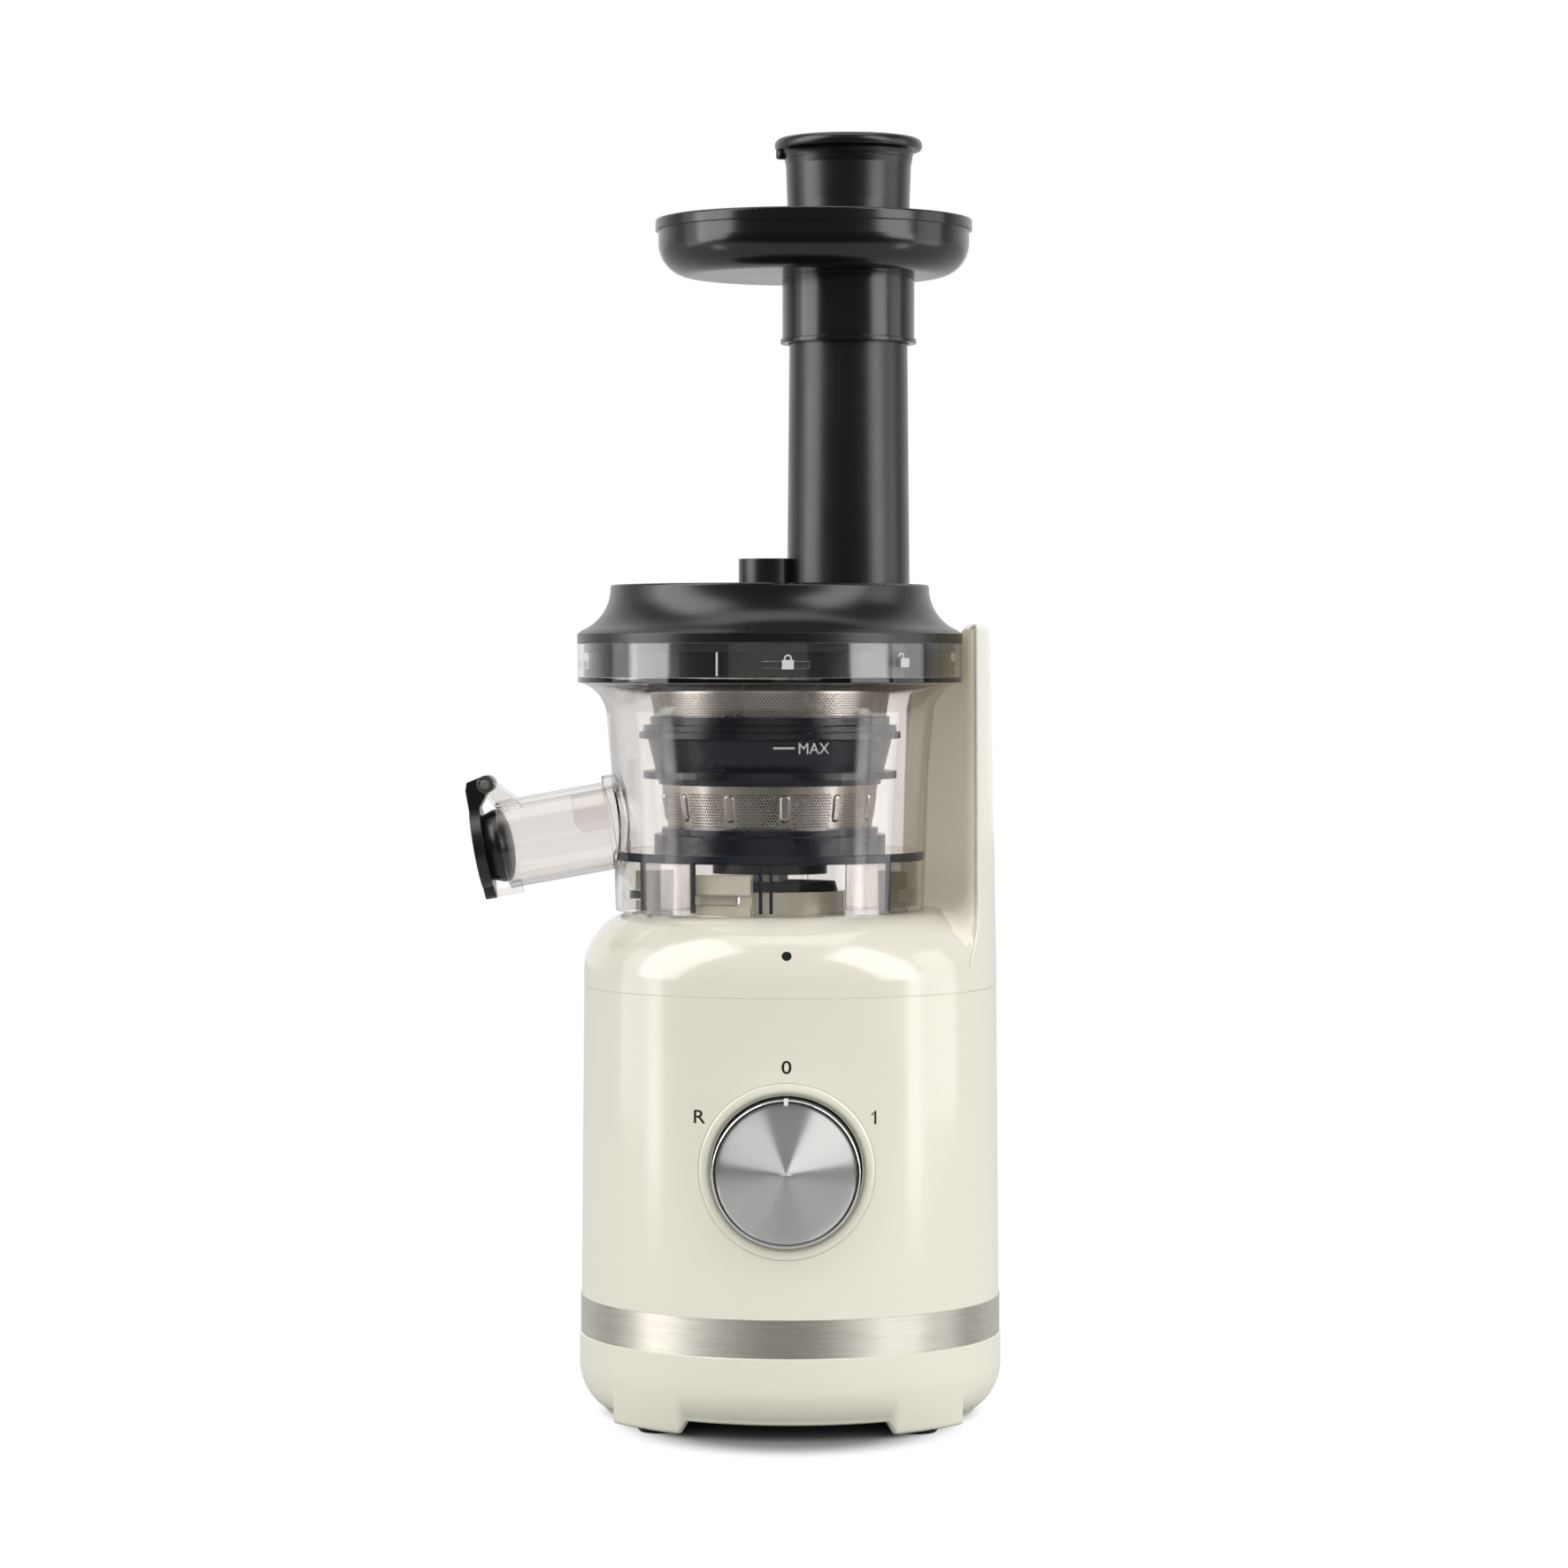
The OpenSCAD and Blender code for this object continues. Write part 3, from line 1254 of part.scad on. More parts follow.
module pusher_cap() {
    z0 = pusher_top_z - flange_h;
    plug_r = neck_r + 1 - pusher_wall - 0.3;
    edge_r = (flange_h - hair) / 2;
    color(black_plastic) translate([tube_x, 0, 0]) rotate_extrude() difference() {
        union() {
            translate([0, z0 - 4]) square([plug_r - 0.2, 5]);
            translate([0, z0 + hair]) square([flange_r - edge_r, flange_h - hair]);
            translate([flange_r - edge_r, z0 + hair + edge_r]) circle(r = edge_r);
        }
        translate([-cut, pusher_top_z - 1.6]) square([flange_r - 6.4 + cut, 2]);
    }
}

foot_shell();
main_housing();
trim_band();
top_cover();
bottom_plate();
rubber_feet();
bottom_screws();
cord_gland();
knob_bezel();
rotary_switch();
knob_body();
knob_face();
knob_pointer();
control_board();
run_capacitor();
interlock_sensor();
hub_seal();
motor_stator();
stator_windings();
motor_top_bracket();
motor_bottom_bracket();
motor_bearings();
motor_bolts();
motor_rotor();
motor_shaft();
cooling_fan();
gearbox_base();
ring_gear();
gearbox_cover();
gearbox_screws();
output_bearing();
lower_sun_gear();
lower_planet_a();
lower_planet_b();
lower_planet_c();
lower_carrier();
upper_sun_gear();
upper_planet_a();
upper_planet_b();
upper_planet_c();
output_carrier();
drive_shaft();
auger();
auger_bush();
bowl();
bowl_floor_seal();
pulp_seal();
strainer_base_ring();
lower_mesh();
strainer_frame();
upper_mesh();
cap_pin();
spout_cap();
cap_plug();
lid();
lid_seal();
lid_magnet();
hopper_tray();
pusher();
pusher_cap();
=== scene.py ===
"""Looks of a vertical cold press juicer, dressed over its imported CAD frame.

Sizes and places of the object are in millimetres here, and MM turns them into Blender's metres.
The stage and its lights are in metres. The juicer's front faces -Y.
"""

import json
import math

import bmesh
import bpy
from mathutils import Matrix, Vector


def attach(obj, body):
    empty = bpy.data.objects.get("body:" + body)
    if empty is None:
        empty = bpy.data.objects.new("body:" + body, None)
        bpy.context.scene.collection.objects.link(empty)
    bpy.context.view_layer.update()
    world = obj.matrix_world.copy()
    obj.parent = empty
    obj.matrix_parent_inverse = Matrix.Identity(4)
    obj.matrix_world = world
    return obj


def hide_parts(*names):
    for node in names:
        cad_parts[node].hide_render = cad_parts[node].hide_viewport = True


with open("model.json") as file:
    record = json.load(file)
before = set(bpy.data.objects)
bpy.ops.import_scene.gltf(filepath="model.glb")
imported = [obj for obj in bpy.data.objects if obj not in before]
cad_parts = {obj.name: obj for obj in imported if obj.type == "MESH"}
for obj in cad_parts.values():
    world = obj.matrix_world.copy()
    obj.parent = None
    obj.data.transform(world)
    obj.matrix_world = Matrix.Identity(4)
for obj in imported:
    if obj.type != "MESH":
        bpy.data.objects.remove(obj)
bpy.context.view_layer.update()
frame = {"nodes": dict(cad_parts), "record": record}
NODES = frame["nodes"]
SCENE = bpy.context.scene
MM = 0.001

# The camera: a long lens a little right of the middle, level with the bowl's rim
EYE_DISTANCE = 1688
EYE_HEIGHT = 274.6
EYE_AZIMUTH = math.radians(1.0)
AIM_LEFT = 2.3
AIM_HEIGHT = 230.4
LENS = 105.5

# Sizes shared with the CAD
BASE_R = 75.7             # the housing at its top seam
BAND_TOP_Z = 43.5
SEAM_Z = 156.8            # between housing and top cover
SEAT_Z = 184.5            # the cover's top, under the bowl
SHOULDER_R = 22           # round of the cover's shoulder
KNOB_Z = 95.8
PLATED_FROM = 78.6        # the knob is plated in front of this
BEZEL_R = 31.2            # ring round the knob
BOWL_X = -7.5             # axis of bowl, strainer and lid
RIM_R = 70.7              # the bowl's rim band
BOWL_IN_R = 54.4          # inside of the bowl's skirt
BOWL_FLOOR_Z = 203
BOWL_FLOOR_TOP_Z = 206
MESH_T = 0.8              # strainer sheet
SPOUT_MOUTH = (-105.3, 208)
SPOUT_TILT = math.radians(10.3)
TUBE_X = 21.3             # axis of feed tube and pusher


# ---- Small helpers ----

def link(obj):
    SCENE.collection.objects.link(obj)
    return obj


def smooth(t):
    t = min(1, max(0, t))
    return t * t * (3 - 2 * t)


def swept(count, size, closed=True):
    """Faces between neighbouring loops: count loops of size points each, the last joined to the first if closed."""
    faces = []
    for i in range(count if closed else count - 1):
        j = (i + 1) % count
        for k in range(size):
            m = (k + 1) % size
            faces.append((i * size + k, i * size + m, j * size + m, j * size + k))
    return faces


def mesh_object(name, verts, faces, material):
    """A smooth mesh with sharp corners, from points in millimetres."""
    mesh = bpy.data.meshes.new(name)
    mesh.from_pydata([tuple(c * MM for c in v) for v in verts], [], faces)
    mesh.update()
    bm = bmesh.new()
    bm.from_mesh(mesh)
    bmesh.ops.remove_doubles(bm, verts=bm.verts, dist=1e-7)
    bmesh.ops.recalc_face_normals(bm, faces=bm.faces)
    bm.to_mesh(mesh)
    bm.free()
    mesh.materials.append(material)
    mesh.shade_smooth()
    mesh.set_sharp_from_angle(angle=math.radians(35))
    return link(bpy.data.objects.new(name, mesh))


def lathe(name, profile, material, centre=(0, 0), steps=180):
    """A closed ring or disc turned from a profile of (radius, z) points."""
    verts = []
    for i in range(steps):
        a = 2 * math.pi * i / steps
        verts += [(centre[0] + r * math.cos(a), centre[1] + r * math.sin(a), z) for r, z in profile]
    return mesh_object(name, verts, swept(steps, len(profile)), material)


# ---- Shader nodes ----

def add(tree, kind, inputs=None, **settings):
    """A new shader node. Its inputs are values or other nodes' sockets; settings are its attributes."""
    node = tree.nodes.new("ShaderNode" + kind)
    for key, value in settings.items():
        setattr(node, key, value)
    for key, value in (inputs or {}).items():
        if isinstance(value, bpy.types.NodeSocket):
            tree.links.new(value, node.inputs[key])
        else:
            node.inputs[key].default_value = value
    return node


def calc(tree, operation, *values):
    """The result of a maths node."""
    return add(tree, "Math", dict(enumerate(values)), operation=operation).outputs[0]


class Look:
    """A node material round one Principled shader."""

    def __init__(self, name):
        self.mat = bpy.data.materials.new(name)
        self.mat.use_nodes = True
        self.tree = self.mat.node_tree
        self.shader = self.tree.nodes["Principled BSDF"]
        self.coords = self.add("TexCoord").outputs["Object"]

    def add(self, kind, inputs=None, **settings):
        return add(self.tree, kind, inputs, **settings)

    def set(self, **values):
        """Sets values that are the same all over, on the shader's own sockets."""
        for key, value in values.items():
            self.shader.inputs[key.replace("_", " ")].default_value = value
        return self

    def join(self, output, socket):
        self.tree.links.new(output, self.shader.inputs[socket])

    def axes(self):
        return self.add("SeparateXYZ", {"Vector": self.coords}).outputs

    def noise(self, scale, detail=3, stretch=(1, 1, 1)):
        """Noise in object space; the scale is per metre."""
        mapped = self.add("Mapping", {"Vector": self.coords, "Scale": stretch}).outputs["Vector"]
        return self.add("TexNoise", {"Vector": mapped, "Scale": scale, "Detail": detail}).outputs["Fac"]

    def math(self, operation, *values):
        return calc(self.tree, operation, *values)

    def ramp(self, fac, stops):
        """The base colour, from a ramp of (position, colour) stops."""
        node = self.add("ValToRGB", {"Fac": fac})
        elements = node.color_ramp.elements
        while len(elements) < len(stops):
            elements.new(0.5)
        for element, (position, colour) in zip(elements, stops):
            element.position = position
            element.color = (*colour, 1)
        self.join(node.outputs["Color"], "Base Color")

    def rough(self, fac, low, high):
        """A roughness that follows a noise, whose values lie mostly between 0.3 and 0.7."""
        node = self.add("MapRange", {"Value": fac, "From Min": 0.3, "From Max": 0.7, "To Min": low, "To Max": high})
        self.join(node.outputs["Result"], "Roughness")

    def bump(self, height, strength, distance=0.0001, before=None):
        node = self.add("Bump", {"Height": height, "Strength": strength, "Distance": distance})
        if before:
            self.tree.links.new(before, node.inputs["Normal"])
        self.join(node.outputs["Normal"], "Normal")

    def edges(self, radius):
        """Softened edges, as a mould leaves them."""
        return self.add("Bevel", {"Radius": radius * MM}, samples=4).outputs["Normal"]

    def radial_tangent(self, axis):
        self.join(self.add("Tangent", direction_type="RADIAL", axis=axis).outputs["Tangent"], "Tangent")


# ---- Materials ----

def tint(colour, by):
    return tuple(min(1, max(0, c * by)) for c in colour)


def plastic(name, colour, roughness, grain, edge=0.5, coat=0.0, vary=0.03):
    """Moulded plastic: faint colour drift, a gloss that varies a little, fine mould texture."""
    look = Look(name).set(IOR=1.5)
    look.ramp(look.noise(14, 2), [(0.3, tint(colour, 1 - vary)), (0.7, tint(colour, 1 + vary))])
    look.rough(look.noise(45, 4), roughness * 0.9, roughness * 1.1)
    look.bump(look.noise(2600, 2), grain, before=look.edges(edge))
    if coat:
        look.set(Coat_Weight=coat, Coat_Roughness=0.05)
    return look.mat


def metal(name, colour, roughness, scale, stretch=(1, 1, 1), strength=0.1):
    """Machined or brushed metal, its lines drawn along the long side of the stretched noise."""
    look = Look(name).set(Metallic=1.0)
    lines = look.noise(scale, 4, stretch)
    look.ramp(lines, [(0.3, tint(colour, 0.9)), (0.7, tint(colour, 1.08))])
    look.rough(lines, roughness * 0.8, roughness * 1.2)
    look.bump(lines, strength, before=look.edges(0.2))
    return look.mat


def band_steel(name):
    """Steel sheet brushed round the base: fine short streaks that run round at one height."""
    look = Look(name).set(Metallic=1.0, Anisotropic=0.9, Anisotropic_Rotation=0.25)
    fine = look.noise(90, 3, (1, 1, 22))
    broad = look.noise(30, 2, (1, 1, 14))
    streaks = look.math("MULTIPLY_ADD", fine, 0.75, look.math("MULTIPLY", broad, 0.25))
    look.ramp(streaks, [(0.32, (0.50, 0.475, 0.42)), (0.5, (0.56, 0.535, 0.48)), (0.68, (0.62, 0.595, 0.54))])
    look.rough(streaks, 0.42, 0.48)
    look.bump(streaks, 0.05)
    look.radial_tangent("Z")
    return look.mat


def spun_face(name):
    """Turned knob face: fine rings that lean outwards a little, so its highlight fans out over the upper half."""
    ring_lean = 0.36
    look = Look(name).set(Metallic=1.0, Anisotropic=1.0, Anisotropic_Rotation=0.25)
    axes = look.axes()
    up = look.math("SUBTRACT", axes["Z"], KNOB_Z * MM)
    far = look.math("SQRT", look.math("ADD", look.math("POWER", axes["X"], 2), look.math("POWER", up, 2)))
    rings = look.add("TexNoise", {"Scale": 3600, "Detail": 2, "W": far}, noise_dimensions="1D").outputs["Fac"]
    look.ramp(rings, [(0.3, (0.63, 0.63, 0.615)), (0.7, (0.69, 0.69, 0.675))])
    look.rough(rings, 0.36, 0.40)
    lean = look.math("MULTIPLY", far, -ring_lean)
    look.bump(look.math("MULTIPLY_ADD", rings, 0.000002, lean), 1.0, 1.0)
    look.radial_tangent("Y")
    return look.mat


def knob_rim(name):
    """Bright plated front on a knob whose side is black."""
    look = Look(name).set(IOR=1.5)
    plated = look.math("LESS_THAN", look.axes()["Y"], -PLATED_FROM * MM)
    grain = look.noise(300, 3)
    look.ramp(look.math("MULTIPLY", plated, look.math("MULTIPLY_ADD", grain, 0.2, 0.8)),
              [(0.0, (0.012, 0.012, 0.012)), (0.7, (0.74, 0.74, 0.73)), (1.0, (0.80, 0.80, 0.79))])
    look.join(plated, "Metallic")
    look.join(look.math("MULTIPLY_ADD", plated, -0.24, 0.32), "Roughness")
    look.bump(grain, 0.02)
    return look.mat


def clear_plastic(name, face_on, edge_on):
    """Smoky clear plastic that darkens where it is seen through more of its wall."""
    look = Look(name).set(Transmission_Weight=1.0, IOR=1.46, Roughness=0.02)
    facing = look.add("LayerWeight", {"Blend": 0.35}).outputs["Facing"]
    look.ramp(facing, [(0.0, face_on), (0.55, tint(face_on, 0.9)), (1.0, edge_on)])
    look.bump(look.noise(20, 2), 0.02, 0.0004, look.edges(0.4))
    return look.mat


def rubbery(name, colour, roughness=0.6):
    """Rubber or silicone with a fine matt speckle."""
    look = Look(name).set(IOR=1.45)
    speck = look.noise(900, 3)
    look.ramp(speck, [(0.3, tint(colour, 0.8)), (0.7, tint(colour, 1.25))])
    look.rough(speck, roughness * 0.85, roughness * 1.1)
    look.bump(speck, 0.15, before=look.edges(0.3))
    return look.mat


def board_look(name):
    """Circuit board: solder mask with paler tracks."""
    look = Look(name).set(IOR=1.5, Roughness=0.35)
    tracks = look.add("TexBrick", {"Vector": look.coords, "Scale": 220, "Color1": (0.03, 0.16, 0.07, 1),
                                   "Color2": (0.02, 0.12, 0.05, 1), "Mortar": (0.10, 0.32, 0.12, 1)}).outputs
    look.join(tracks["Color"], "Base Color")
    look.bump(tracks["Fac"], 0.1, 0.0002)
    return look.mat


def cream_with_painted_glow(name):
    """The cream of the column's inner face, with a painted glow for the light that bounces between the pale walls.
    """
    look = Look(name).set(Specular_IOR_Level=0.15, Emission_Color=(0.80, 0.70, 0.52, 1))
    # Painted light: a warm emission, brighter towards the top, stands in for the bounced light
    height = look.add("MapRange", {"Value": look.axes()["Z"], "From Min": 0.166, "From Max": 0.206,
                                   "To Min": 0.08, "To Max": 0.27})
    look.join(height.outputs["Result"], "Emission Strength")
    grain = look.noise(1200, 2)
    look.ramp(grain, [(0.3, tint(CREAM, 0.98)), (0.7, tint(CREAM, 1.02))])
    look.rough(grain, 0.5, 0.6)
    return look.mat


def printed(name, colour):
    """Matt ink, or the shade in a seam."""
    look = Look(name).set(Specular_IOR_Level=0.15)
    ink = look.noise(1500, 2)
    look.ramp(ink, [(0.3, tint(colour, 0.94)), (0.7, tint(colour, 1.04))])
    look.rough(ink, 0.54, 0.66)
    return look.mat


CREAM = (0.765, 0.742, 0.632)
LOOKS = {
    "cream_plastic": plastic("cream_gloss", CREAM, 0.16, 0.01, 0.35, 0.3, 0.008),
    "black_satin": plastic("black_satin", (0.0042, 0.0042, 0.0038), 0.29, 0.22, 0.4),
    "black_gloss": plastic("black_gloss", (0.0042, 0.0042, 0.0040), 0.2, 0.03),
    "dark_plastic": plastic("dark_blue_plastic", (0.007, 0.010, 0.023), 0.26, 0.03, 0.4),
    "auger_plastic": plastic("auger_plastic", (0.03, 0.032, 0.038), 0.4, 0.1, 0.4),
    "smoky_clear": clear_plastic("smoky_clear", (0.90, 0.875, 0.855), (0.30, 0.31, 0.34)),
    "brushed_steel": band_steel("band_steel"),
    "chrome": knob_rim("chrome"),
    "spun_metal": spun_face("spun_face"),
    "plain_steel": metal("plain_steel", (0.52, 0.52, 0.53), 0.3, 300, (1, 1, 6)),
    "mesh_steel": metal("mesh_steel", (0.54, 0.515, 0.48), 0.28, 60, strength=0.03),
    "lamination_steel": metal("lamination_steel", (0.26, 0.27, 0.29), 0.45, 60, (1, 1, 30), 0.5),
    "cast_metal": metal("cast_metal", (0.50, 0.51, 0.53), 0.45, 900, strength=0.3),
    "copper_wire": metal("copper_wire", (0.60, 0.25, 0.10), 0.35, 90, (1, 1, 9), 0.5),
    "gear_plastic": plastic("gear_plastic", (0.62, 0.60, 0.52), 0.4, 0.1, 0.2),
    "circuit_board": board_look("circuit_board"),
    "rubber": rubbery("black_rubber", (0.012, 0.012, 0.012)),
    "silicone": rubbery("dark_silicone", (0.018, 0.020, 0.026), 0.4),
}
BLACK_INK = printed("black_ink", (0.008, 0.008, 0.008))
PALE_INK = printed("pale_ink", (0.62, 0.62, 0.62))
POINTER_PLATE = plastic("pointer_plate", (0.80, 0.80, 0.79), 0.3, 0.05)
COLUMN_INSIDE_PAINTED_GLOW = cream_with_painted_glow("cream_inside_painted_glow")
SEAM_SHADE = printed("seam_shade", (0.56, 0.54, 0.44))


def dress_nodes():
    """Gives every CAD node the look of its slot; the knob's pointer has one of its own."""
    for part in frame["record"]["subparts"]:
        for held in NODES[part["node"]].material_slots:
            held.material = POINTER_PLATE if part["node"] == "knob_pointer" else LOOKS[part["material_slot"]]


# ---- Printed marks ----

INK_T = 0.05
DIAL_H = 4.7              # height of the dial's letters
DOT_ANGLE = math.asin((171.7 - SEAT_Z + SHOULDER_R) / SHOULDER_R)
DOT_R = 1.75
MAX_R = 58.2              # wall of the bowl at the fill line


def housing_r(z):
    return BASE_R + (SEAM_Z - z) / (SEAM_Z - BAND_TOP_Z)


# A mark's place turns (u, v, w) into a point: u runs round the wall, v is up, w stands proud.
# Azimuth 0 is the front.

def on_cylinder(centre_x, radius, azimuth, z):
    def place(u, v, w):
        r = radius(z + v) + w
        a = math.radians(azimuth) + u / radius(z)
        return (centre_x + r * math.sin(a), -r * math.cos(a), z + v)
    return place


def on_housing(azimuth, z):
    return on_cylinder(0, housing_r, azimuth, z)


def on_bowl(radius, azimuth, z):
    return on_cylinder(BOWL_X, lambda height: radius, azimuth, z)


def on_shoulder(u, v, w):
    angle = DOT_ANGLE + v / SHOULDER_R
    r = SHOULDER_R + w
    ring = BASE_R - SHOULDER_R + r * math.cos(angle)
    a = u / ring
    return (ring * math.sin(a), -ring * math.cos(a), SEAT_Z - SHOULDER_R + r * math.sin(angle))


def text_outline(text, height, bold=0.0):
    """The mesh of a word with its middle at the origin, its capitals as high as asked."""
    curve = bpy.data.curves.new("word", "FONT")
    curve.body = text
    curve.align_x = "CENTER"
    curve.resolution_u = 6
    curve.extrude = 0.01
    curve.offset = bold
    obj = link(bpy.data.objects.new("word", curve))
    bpy.context.view_layer.update()
    mesh = bpy.data.meshes.new_from_object(obj.evaluated_get(bpy.context.evaluated_depsgraph_get()))
    bpy.data.objects.remove(obj)
    xs, ys = [v.co.x for v in mesh.vertices], [v.co.y for v in mesh.vertices]
    left, right, low, high = min(xs), max(xs), min(ys), max(ys)
    scale = height / (high - low)
    for v in mesh.vertices:
        v.co = ((v.co.x - (left + right) / 2) * scale, (v.co.y - (low + high) / 2) * scale,
                INK_T if v.co.z > 0 else -INK_T)
    return mesh


def plate_mesh(*outlines):
    """Thin solid plates from flat outlines given as lists of (u, v) points."""
    bm = bmesh.new()
    for outline in outlines:
        for side in (-INK_T, INK_T):
            bm.faces.new([bm.verts.new((u, v, side)) for u, v in outline])
        bm.verts.ensure_lookup_table()
        n = len(outline)
        low, high = bm.verts[-2 * n:-n], bm.verts[-n:]
        for i in range(n):
            bm.faces.new((low[i], low[(i + 1) % n], high[(i + 1) % n], high[i]))
    bmesh.ops.recalc_face_normals(bm, faces=bm.faces)
    mesh = bpy.data.meshes.new("plates")
    bm.to_mesh(mesh)
    bm.free()
    return mesh


def bar(half_u, half_v):
    return [(-half_u, -half_v), (half_u, -half_v), (half_u, half_v), (-half_u, half_v)]


def arc(cx, cy, r, start, end, steps):
    turns = [math.radians(start + (end - start) * i / steps) for i in range(steps + 1)]
    return [(cx + r * math.cos(turn), cy + r * math.sin(turn)) for turn in turns]


def padlock(opened):
    """A small padlock, its shackle shut or swung out to the left."""
    x, bow_r, wire, foot, bend = (-1.9 if opened else 0), 1.15, 0.55, 0.6, 1.2
    body = [(-2.1, -2.6), (2.1, -2.6), (2.1, 0.7), (-2.1, 0.7)]
    bow = arc(x, bend, bow_r + wire / 2, 0, 180, 14) + arc(x, bend, bow_r - wire / 2, 180, 0, 14)
    legs = [[(x + s * bow_r - 0.27, foot), (x + s * bow_r + 0.27, foot),
             (x + s * bow_r + 0.27, bend), (x + s * bow_r - 0.27, bend)] for s in (-1, 1)]
    return plate_mesh(body, bow, *(legs[1:] if opened else legs))


def mark_from_mesh(name, mesh, place, material, body, width=1.0):
    for v in mesh.vertices:
        v.co = Vector(place(v.co.x * width, v.co.y, v.co.z)) * MM
    mesh.materials.clear()
    mesh.materials.append(material)
    obj = link(bpy.data.objects.new(name, mesh))
    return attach(obj, body)


def make_marks():
    """The dial's marks and the lock's dot on the base; the lock's signs and the fill line on the bowl.

    Each place is an azimuth in degrees and the height of the mark's middle.
    """
    one = plate_mesh([(0.1, -2.35), (0.85, -2.35), (0.85, 2.35), (0.35, 2.35), (0.1, 1.7)],
                     [(0.1, 1.7), (0.35, 2.35), (0.0, 1.9), (-0.95, 1.3), (-0.95, 0.6)])
    dot = plate_mesh(arc(0, 0, DOT_R, 0, 360 - 360 / 32, 31))
    mark_from_mesh("mark_r", text_outline("R", DIAL_H, 0.006), on_housing(-23.9, 114.7), BLACK_INK, "base", 1.22)
    mark_from_mesh("mark_0", text_outline("0", DIAL_H, 0.008), on_housing(0, 132.7), BLACK_INK, "base", 1.15)
    mark_from_mesh("mark_1", one, on_housing(23.9, 114.5), BLACK_INK, "base")
    mark_from_mesh("mark_dot", dot, on_shoulder, BLACK_INK, "base")
    mark_from_mesh("lock_shut", padlock(False), on_bowl(RIM_R, 6.4, 275.2), PALE_INK, "bowl")
    mark_from_mesh("lock_open", padlock(True), on_bowl(RIM_R, 44.2, 275.9), PALE_INK, "bowl")
    mark_from_mesh("stop_line", plate_mesh(bar(0.35, 4.2)), on_bowl(RIM_R, -14.1, 274.4), PALE_INK, "bowl")
    mark_from_mesh("max_line", plate_mesh(bar(3.8, 0.35)), on_bowl(MAX_R, 6.2, 244.6), PALE_INK, "bowl")
    mark_from_mesh("max_word", text_outline("MAX", 3.9), on_bowl(MAX_R, 16.9, 244.5), PALE_INK, "bowl", 0.95)


# ---- Perforated strainer sleeves ----

# Each sleeve's lower and upper edge, and its outer radius there
LOWER_MESH = (212.6, 230.35, 37.1, 39.68)
UPPER_MESH = (253.95, 267.05, 42.6, 43.99)
LOWER_MESH_R = 38.5
UPPER_MESH_R = 43
UPPER_SEAM = math.radians(63)
BARS = [math.radians(9.3 + 30 * k) for k in range(12)]
BAR_Z = 222.3
BAR_HALF_W = 1.85
BAR_HALF_H = 5.2
BAR_RISE = 0.75


def cone_point(z0, z1, r0, r1):
    """A point of a cone's wall from an angle in radians, a height and how far it stands in from the outside."""
    def at(a, z, inset):
        r = r0 + (r1 - r0) * (z - z0) / (z1 - z0) - inset
        return (BOWL_X + r * math.sin(a), -r * math.cos(a), z)
    return at


def perforated(name, cone, margin, columns, hole_r, plain, material):
    """A sheet with staggered round holes, made of square cells that each have an eight-sided hole.

    margin is the whole strip at either edge, and plain(angle) keeps a cell whole.
    """
    z0, z1, r0, r1 = cone
    at = cone_point(*cone)
    step = 2 * math.pi / columns
    mean_r = (r0 + r1) / 2
    rows = max(1, round((z1 - z0 - 2 * margin) / (mean_r * step * 0.9)))
    row_h = (z1 - z0 - 2 * margin) / rows
    verts, faces, known = [], [], {}

    def vert(i2, zkey, z, side):
        key = (i2 % (2 * columns), zkey, side)
        if key not in known:
            known[key] = len(verts)
            verts.append(at(i2 * step / 2, z, side * MESH_T))
        return known[key]

    for i in range(2 * columns):
        for k, z, k2, z2 in ((-1, z0, 0, z0 + margin), (2 * rows, z1 - margin, 2 * rows + 1, z1)):
            outer, inner = [[vert(i, k, z, s), vert(i + 1, k, z, s), vert(i + 1, k2, z2, s), vert(i, k2, z2, s)]
                            for s in (0, 1)]
            faces += [tuple(outer), tuple(reversed(inner))]
        for k, z in ((-1, z0), (2 * rows + 1, z1)):
            faces.append((vert(i, k, z, 0), vert(i, k, z, 1), vert(i + 1, k, z, 1), vert(i + 1, k, z, 0)))
    for row in range(rows):
        low, mid, high = (z0 + margin + (row + part) * row_h for part in (0, 0.5, 1))
        k = 2 * row
        for col in range(columns):
            i = 2 * col + row % 2
            angle = (i + 1) * step / 2
            edge = [(i, k, low), (i + 1, k, low), (i + 2, k, low), (i + 2, k + 1, mid),
                    (i + 2, k + 2, high), (i + 1, k + 2, high), (i, k + 2, high), (i, k + 1, mid)]
            rims = [[vert(*e, s) for e in edge] for s in (0, 1)]
            if plain(angle):
                faces += [tuple(rims[0]), tuple(reversed(rims[1]))]
                continue
            holes = []
            for s in (0, 1):
                holes.append(range(len(verts), len(verts) + 8))
                for turn in (math.radians(225 + 45 * c) for c in range(8)):
                    verts.append(at(angle + hole_r * math.cos(turn) / mean_r, mid + hole_r * math.sin(turn),
                                    s * MESH_T))
            for c in range(8):
                d = (c + 1) % 8
                faces.append((rims[0][c], rims[0][d], holes[0][d], holes[0][c]))
                faces.append((rims[1][d], rims[1][c], holes[1][c], holes[1][d]))
                faces.append((holes[0][c], holes[0][d], holes[1][d], holes[1][c]))
    return mesh_object(name, verts, faces, material)


